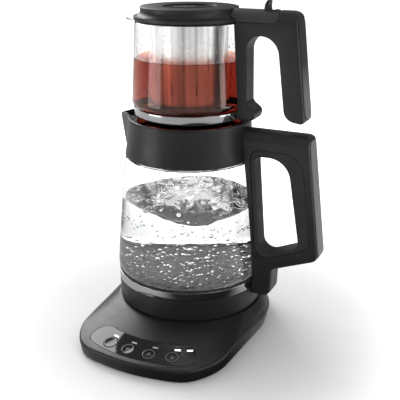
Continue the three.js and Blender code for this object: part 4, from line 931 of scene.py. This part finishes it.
def make_teapot_handle():
    body = crowned("teapot_handle_shell", TEAPOT_FRAME)
    combine(body, "INTERSECT", ridge_prism(LID_TOP))
    envelope = [(0, 223), (59.9, 223), (59.9, 248.7), (61.3, 248.7), (61.3, 255), (56.2, 335.8),
                (57.5, 336.1), (57.5, 356), (0, 356)]
    pocket = [(0, 338.2, 0), (93.5, 338.1, 0), (99.9, 338.1, 6.38), (99.9, 360, 0), (0, 360, 0)]
    combine(body, "DIFFERENCE", lathe("cut", envelope, 192), across_y("cut", pocket, [(-19, 0), (19, 0)], 16),
            recess(TEAPOT_BAR, 1.1, TEAPOT_STRIP), recess(TEAPOT_BAR, 2.0, TEAPOT_GRIP))
    lug = rod_y("lug", 6.1, 5, *HINGE)
    combine(lug, "UNION", box_of("foot", (88.5, -5, 332.2), (98.5, 5, 344.0)))
    combine(body, "UNION", lug)
    combine(body, "DIFFERENCE", rod_y("cut", 1.8, HANDLE_HALF, *HINGE, 32))
    dress(body, "teapot", "plastic", "handle", "teapot_handle_frame")

    strip = inlaid("teapot_handle_inlay", TEAPOT_BAR, 0.5, 1.6, TEAPOT_STRIP)
    dress(strip, "teapot", "gloss_plastic", "strip", "teapot_handle_strip")
    grip = inlaid("teapot_grip_pad", TEAPOT_BAR, 0.4, 2.4, TEAPOT_GRIP)
    dress(grip, "teapot", "soft_plastic", "soft", "teapot_handle_grip")
    inner_edge = ((98.6, 325.4), (108.8, 244.6))
    make_dots("teapot_grip_dots", "teapot", inner_edge, 22, 11, (-6, -3, 0, 3, 6), 4.3, 1.5)


# Teapot

TEAPOT_GLASS = 2.2


def teapot_radius(height):
    return blend(61, 55.9, (height - 255) / 80.8)


def pull_lip(x, y, z):
    off = math.degrees(math.atan2(abs(y), -x)) / 26
    if z <= 316 or off >= 1:
        return (x, y, z)
    share = max(0.0, min(1.0, (z - 316) / 19.8)) ** 1.6
    return (x - 19 * share * math.cos(off * math.pi / 2) ** 2, y, z)


def basket_radius(height):
    return blend(39, 40.4, (height - 252.8) / 82.7)


def make_teapot():
    outside = rounded([(0, 229.2, 0), (57.5, 229.2, 3.4), (57.8, 240.9, 0)])
    outside += [(58.4, 248.9), (59.2, 250.2), (60.3, 252.2), (60.85, 253.8)]
    outside += side(teapot_radius, 0, 255, 335, 26)
    rim = [(55.9, 335.3), (55.6, 335.7), (55.0, 335.8), (54.4, 335.8), (53.9, 335.6), (53.72, 335.2)]
    inside = side(teapot_radius, TEAPOT_GLASS, 335, 255, 26) + [(58.6, 253.6), (57.9, 251.6), (56.5, 249.4)]
    inside += rounded([(55.6, 240.9, 0), (55.4, 232.4, 3.4), (0, 232.4, 0)])
    glass = lathe("teapot_glass_body", outside + rim + inside, 192, pull_lip)
    dress(glass, "teapot", "glass", "glass", "teapot_glass")
    band = rounded([(58.1, 240.9, 0.2), (59.0, 240.9, 0.25), (59.6, 248.7, 0.3), (58.7, 248.7, 0.2)], 0, 4)
    dress(lathe("teapot_band", band), "teapot", "dark_steel", "band", "teapot_metal_band")
    make_infuser()


def make_infuser():
    ring = rounded([(41, 335.2, 0.3), (52.9, 335.2, 0.3), (52.9, 336.1, 0), (55.4, 336.1, 0.3),
                    (55.4, 337.1, 0.3), (51.3, 337.1, 0.3), (51.3, 336.0, 0.2), (41, 336.0, 0.3)], 0, 4)
    body = lathe("infuser_ring_body", ring)
    for angle in (-90, 135):
        tab = rod_y("tab", 6.4, 0.9, 0, 335.6, 48)
        combine(tab, "DIFFERENCE", box_of("cut", (-20, -20, 335.6), (20, 20, 350)))
        combine(body, "UNION", moved(tab, spin(angle - 90) @ shift(47.2, 0)))
    dress(body, "teapot", "steel", "charcoal", "infuser_ring")
    cup = [(0, 252), (38.2, 252), (38.8, 252.3), (39, 252.8)] + side(basket_radius, 0, 256, 336.3, 14)
    cup += [(44.6, 336.3), (44.6, 337.1), (39.6, 337.1)] + side(basket_radius, 0.8, 335, 256, 14)
    cup += [(38.0, 252.9), (0, 252.8)]
    basket = lathe("infuser_basket_body", cup)
    for row in range(2):
        z = 272 + 24 * row
        corners = rectangle(-0.5, z - 6, 0.5, z + 6, 0.49)
        for i in range(10):
            cutter = across_y("cut", corners, [(-46, 0), (-30, 0)], 5)
            combine(basket, "DIFFERENCE", moved(cutter, spin(36 * (i + row / 2))))
    dress(basket, "teapot", "steel", "basket", "infuser_basket")


# Lid

def lid_side():
    return [(bent(50.2, 50.2, 57.2, share), bent(347.4, 341, 341, share)) for share in spread(0, 1, 14)]


def make_lid():
    profile = [(0, 348.5), (27.6, 348.5), (27.6, 350.1), (27.9, LID_TOP), (50.0, LID_TOP), (50.4, 350.2)]
    profile += [(50.6, 349.8)] + lid_side() + [(57.2, 340.8), (57.2, 338.2), (57.0, 337.7), (56.5, 337.5)]
    profile += [(48.5, 337.5), (46.5, 337.5), (46.5, 346.3), (0, 346.3)]
    dress(lathe("lid_body", profile, 192), "lid", "plastic", "lid", "lid_shell")
    inlay = rounded([(0, 348.8, 0), (27.3, 348.8, 0.2), (27.3, 349.8, 0.25), (0, 349.8, 0)])
    dress(lathe("lid_disc", inlay), "lid", "gloss_plastic", "gloss", "lid_inlay")
    seal = rounded([(48.8, 336.3, 0.2), (50.1, 336.3, 0.2), (50.1, 337.2, 0.2), (48.8, 337.2, 0.2)], 0, 4)
    dress(lathe("lid_seal_ring", seal), "lid", "silicone", "silicone", "lid_seal")

    arm = box_of("lid_arm_body", (0, -80, 338.5), (93.5, 80, 356))
    combine(arm, "UNION", rod_y("barrel", 6, 80, *HINGE))
    combine(arm, "INTERSECT", ridge_prism(LID_TOP))
    outside = [(0, 0), (57.5, 0)] + [(r + GAP, z + GAP) for r, z in reversed(lid_side())]
    outside += [(50.9, 349.8), (50.9, 356.4), (0, 356.4)]
    slot = rod_y("cut", 6.5, 5.3, *HINGE)
    combine(slot, "UNION", box_of("low", (86.8, -5.3, 330), (160, 5.3, 343.4)))
    combine(arm, "DIFFERENCE", lathe("cut", outside, 192), slot, rod_y("cut", 1.8, 8.7, *HINGE, 32))
    dress(arm, "lid", "plastic", "arm", "lid_arm")

    fin_side = [(82.4, 344.5, 0), (83.4, 354.5, 1.5), (85.4, 359.8, 1), (88.4, 359.8, 1), (87, 354.5, 1.5),
                (88, 344.5, 0)]
    fin = across_y("thumb_lever_fin", fin_side, [(-HANDLE_HALF, 0), (HANDLE_HALF, 0)], 6)
    leaf = [(-5.4, 340, 0), (5.4, 340, 0), (5.4, 359.8, 5.399), (-5.4, 359.8, 5.399)]
    combine(fin, "INTERSECT", along_x("cut", leaf, 80, 92, 24))
    combine(fin, "DIFFERENCE", ridge_prism(350.7, 13.1, 300))
    dress(fin, "lid", "plastic", "lid", "lid_thumb_lever")


# Water and tea

def water_level(angle):
    """Height of the rolling water at the glass, by the angle from the front."""
    knots = ((-180, 146), (-120, 143), (-70, 148), (-35, 151), (-18, 151), (-5, 148), (8, 144), (18, 141),
             (30, 139), (40, 139.4), (50, 143), (62, 144), (77, 146), (110, 150), (140, 144), (180, 146))
    return eased(knots, (angle + 180) % 360 - 180)


def make_water():
    """Water under the glass, with a rolling surface that is closed in the middle."""
    angles = turns(192)
    middle = 145.5
    bottom = 71.8

    def at_glass(share, angle):
        z = blend(76, water_level(angle), share)
        return polar(kettle_radius(z) - 2.3, angle, z)

    def at_surface(share, angle):
        edge = water_level(angle)
        x, y, z = polar((kettle_radius(edge) - 2.3) * share, angle, 0)
        roll = noise.noise(Vector((x, y, 3.7)) / 17) * 6 + noise.noise(Vector((x, y, 9.1)) / 7) * 2.6
        return (x, y, blend(middle, edge, share ** 3) + roll * (1 - share ** 10))

    profile = [(3.1, bottom), (3.1, 65.8), (74.9, 65.8), (74.9, 67.4), (77.4, 67.9), (78.3, 71.5)]
    profile.append((78.75, 74.0))
    rings = [[polar(radius, a, height) for a in angles] for radius, height in profile]
    rings += [[at_glass(share, a) for a in angles] for share in spread(0.02, 1, 14)]
    rings += [[at_surface(share, a) for a in angles] for share in spread(1, 0.02, 34)[1:]]
    rings += [[(0, 0, height)] * len(angles) for height in (middle, bottom)]
    dress(loft("boiling_water", rings, True, 60), "kettle", "glass", "water")


def sphere(points, faces, centre, radius, squash, turn, rings, around):
    """Adds a small closed ball to the lists."""
    start = len(points)
    c, s = math.cos(turn), math.sin(turn)
    for i in range(1, rings):
        fall = math.pi * i / rings
        for u, v in circle(0, 0, radius * math.sin(fall), count=around + 1)[:-1]:
            x, y, z = u * squash[0], v * squash[1], radius * squash[2] * math.cos(fall)
            points.append((centre[0] + x * c - y * s, centre[1] + x * s + y * c, centre[2] + z))
    top = len(points)
    points += [(centre[0], centre[1], centre[2] + end * radius * squash[2]) for end in (1, -1)]
    faces += loop_faces(rings - 1, around, False, start)[:-2]
    last = start + around * (rings - 2)
    for k in range(around):
        faces.append((top, start + (k + 1) % around, start + k))
        faces.append((top + 1, last + k, last + (k + 1) % around))


def make_bubbles():
    """Steam bubbles in the water: closed skins that face inwards."""
    dice = random.Random(11)
    points, faces = [], []
    taken = []

    def add(radius, x, y, z):
        if all((x - u) ** 2 + (y - v) ** 2 + (z - w) ** 2 > (radius + r + 0.3) ** 2 for u, v, w, r in taken):
            taken.append((x, y, z, radius))
            sphere(points, faces, (x, y, z), radius, (1, 1, 0.85), 0, 8, 14)

    def anywhere(most):
        return most * math.sqrt(dice.random())

    # How many, the angles, the reach from the axis, the heights and the radii
    clouds = (
        (70, (-180, 180), lambda: anywhere(70), (76, 132), (0.8, 2.6)),
        (260, (-180, 180), lambda: anywhere(72), (68.5, 76), (0.5, 1.5)),
        (60, (-80, 110), lambda: dice.uniform(60, 71), (120, 134), (0.6, 1.8)),
    )
    for count, angles, reach_of, heights, radii in clouds:
        for i in range(count):
            turn, reach = dice.uniform(*angles), reach_of()
            x, y, z = polar(reach, turn, dice.uniform(*heights))
            add(dice.uniform(*radii), x, y, z)
    dress(build("steam_bubbles", points, faces, 80, True), "kettle", "glass", "bubble")


def make_drops():
    """Condensation on the inside of the glass under the collar, and on the teapot's glass above the tea."""
    dice = random.Random(5)
    points, faces = [], []

    def drop(reach, turn, z, size, length):
        place = polar(reach - 0.2 - 0.25 * size, turn, z)
        sphere(points, faces, place, size, (1, 0.28, length), math.radians(turn), 6, 8)

    for i in range(520):
        z = 193 - 38 * dice.random() ** 1.7
        turn = dice.uniform(-180, 180)
        size = dice.uniform(0.35, 1.0)
        length = dice.choice((1, 1, 1.2, 2.2, 4))
        if z - size * length >= 156:
            drop(kettle_radius(z) - KETTLE_GLASS, turn, z, size, length)
    dress(build("kettle_condensation", points, faces, 80), "kettle", "glass", "drop")
    points, faces = [], []
    for i in range(420):
        z = blend(301, 327, dice.random())
        turn = dice.uniform(-160, 160) if i % 2 else dice.uniform(-70, 80)
        if z <= 315 or abs(turn + 90) >= 30:
            drop(teapot_radius(z) - TEAPOT_GLASS, turn, z, dice.uniform(0.3, 0.85), dice.choice((1, 1.3, 2)))
    dress(build("teapot_condensation", points, faces, 80), "teapot", "glass", "drop")


def make_tea():
    """Tea up to a skin under the outside of the glass, so that it looks as wide as the glass does."""
    level = 299
    profile = rounded([(0, 232.2, 0), (56.3, 232.2, 3.4), (57.2, 240.9, 0)])
    profile += [(57.9, 248.9), (59.9, 252.2), (60.4, 253.8)]
    profile += side(teapot_radius, 0.45, 255, level + 0.9, 10)
    profile += [(56.4, level + 0.3), (55, level), (42.5, level), (41.2, level + 0.3)]
    profile += side(basket_radius, -0.15, level + 0.7, 256, 8) + [(39.15, 252.8), (38.6, 251.85), (0, 251.85)]
    dress(lathe("brewed_tea", profile), "teapot", "glass", "tea")
    inner = [(0, 253.0), (37.9, 253.0)] + side(basket_radius, 0.95, 256, 290, 8) + [(0, 290)]
    dress(lathe("tea_in_basket", inner, 96), "teapot", "glass", "tea")


# Studio

def make_floor():
    """A pale floor that the camera sees as plain white, but for the object's shadow, which ambient occlusion
    deepens as painted shadow; glossy rays see a painted reflection on it, dark in front of the object and
    light round that.
    """
    reach = 14.0
    mesh = bpy.data.meshes.new("floor")
    corners = [(-reach, -reach, 0), (reach, -reach, 0), (reach, reach, 0), (-reach, reach, 0)]
    mesh.from_pydata(corners, [], [(0, 1, 2, 3)])
    material = bpy.data.materials.new("floor")
    wires = Wires(material)
    wires.nodes.clear()
    path = wires.add("LightPath").outputs
    place = wires.add("TexCoord").outputs["Object"]
    away = wires.distance(place, (AXIS[0], AXIS[1], 0))
    ahead = wires.distance(place, (AXIS[0] + 0.2, AXIS[1] - 0.23, 0))
    # Ambient occlusion, leaning towards the key lamp, paints a shadow into the floor's glow round the object.
    lean = wires.add("CombineXYZ", {"X": -0.5, "Y": 0.1, "Z": 0.86}).outputs[0]
    shut = wires.add("AmbientOcclusion", {"Distance": 0.15, "Normal": lean}, samples=8).outputs["AO"]
    shadow = wires.math("POWER", shut, 1.7)

    seen = wires.math("MAXIMUM", path["Is Camera Ray"], path["Is Transmission Ray"])
    glow = wires.math("MULTIPLY", wires.span(away, 0.15, 0.38, 0.3, 1.0), shadow)
    glow = wires.math("MULTIPLY", glow, seen)
    # Rays from glossy surfaces see a painted reflection: the floor glows for them in a ring round a spot in
    # front of the object.
    painted_reflection_glow = wires.span(ahead, 0.18, 0.28, 0.0, 0.38)
    painted_reflection_glow = wires.math("MULTIPLY", painted_reflection_glow, wires.span(away, 2.0, 4.0, 1.0, 0.0))
    mirror_ray = wires.math("SUBTRACT", path["Is Glossy Ray"], path["Is Transmission Ray"])
    mirror_ray = wires.math("MAXIMUM", mirror_ray, 0.0)
    painted_reflection_glow = wires.math("MULTIPLY", painted_reflection_glow, mirror_ray)
    strength = wires.math("ADD", glow, painted_reflection_glow)

    # Inside that ring the floor is nearly black for glossy rays: a painted dark reflection.
    dark = wires.math("MULTIPLY", wires.span(ahead, 0.17, 0.26, 0.75, 0.45), mirror_ray)
    tone = wires.math("ADD", wires.math("MULTIPLY", path["Is Camera Ray"], 0.15), 0.8)
    tone = wires.math("SUBTRACT", tone, dark)
    matt = wires.add("BsdfDiffuse", {"Color": tone})
    light = wires.add("Emission", {"Strength": strength})
    both = wires.add("AddShader", {0: matt.outputs[0], 1: light.outputs[0]})
    wires.add("OutputMaterial", {"Surface": both.outputs[0]})
    mesh.materials.append(material)
    floor = add_object("floor", mesh)


def make_sky():
    """White for the camera and through glass, soft light for the rest, dimmer low in reflections."""
    sky = bpy.data.worlds.new("studio")
    bpy.context.scene.world = sky
    wires = Wires(sky)
    wires.nodes.clear()
    path = wires.add("LightPath").outputs
    way = wires.add("TexCoord").outputs["Generated"]
    height = wires.add("SeparateXYZ", {0: way}).outputs["Z"]
    seen = wires.math("MAXIMUM", path["Is Camera Ray"], path["Is Transmission Ray"])
    soft = wires.math("MAXIMUM", wires.math("MULTIPLY", path["Is Diffuse Ray"], 0.3), seen)
    low_glow = wires.span(height, 0.12, 0.55, 0.08, 0.34)
    strength = wires.math("MAXIMUM", soft, wires.math("MULTIPLY", path["Is Glossy Ray"], low_glow))
    shade = wires.add("Background", {"Color": (1, 1, 1, 1), "Strength": strength})
    wires.add("OutputWorld", {"Surface": shade.outputs[0]})


def make_studio():
    make_floor()
    make_sky()
    lamp("key", (-1.22, 0.75, 0.98), 0.12, 1.0, 1.0, 17)
    lamp("fill", (1.3, -0.5, 0.9), 0.15, 0.7, 1.0, 4)
    lamp("left_box", (-0.685, -0.652, 0.2), 0.2, 0.5, 0.35, 1.4)
    lamp("right_box", (0.934, 0.191, 0.2), 0.2, 0.5, 0.35, 1.4)
    lamp("glint", (-1.015, 1.995, 0.553), 0.35, 0.104, 0.012, 0.006)


def lamp(name, place, height, wide, tall, power):
    """A soft box at a place in metres from the kettle's axis, aimed at a height on it."""
    data = bpy.data.lights.new(name, "AREA")
    data.shape = "RECTANGLE"
    data.size = wide
    data.size_y = tall
    data.energy = power
    light = add_object(name, data)
    light.location = Vector(place) + Vector((*AXIS, 0))
    way = Vector((0, 0, height)) - Vector(place)
    light.rotation_euler = way.to_track_quat("-Z", "Y").to_euler()


def make_camera():
    data = bpy.data.cameras.new("camera")
    data.sensor_width = 36
    data.lens = 65.55
    camera = add_object("camera", data)
    camera.location = world(337.9, -683.4, 418.9)
    camera.rotation_euler = (math.radians(90 - 20.07), 0, math.radians(25.5))
    bpy.context.scene.camera = camera


bpy.context.scene.view_settings.view_transform = "Standard"
make_camera()
make_studio()
make_base()
make_buttons()
make_icons()
make_small_base_parts()
make_kettle()
make_kettle_handle()
make_teapot()
make_teapot_handle()
make_lid()
make_water()
make_bubbles()
make_tea()
make_drops()
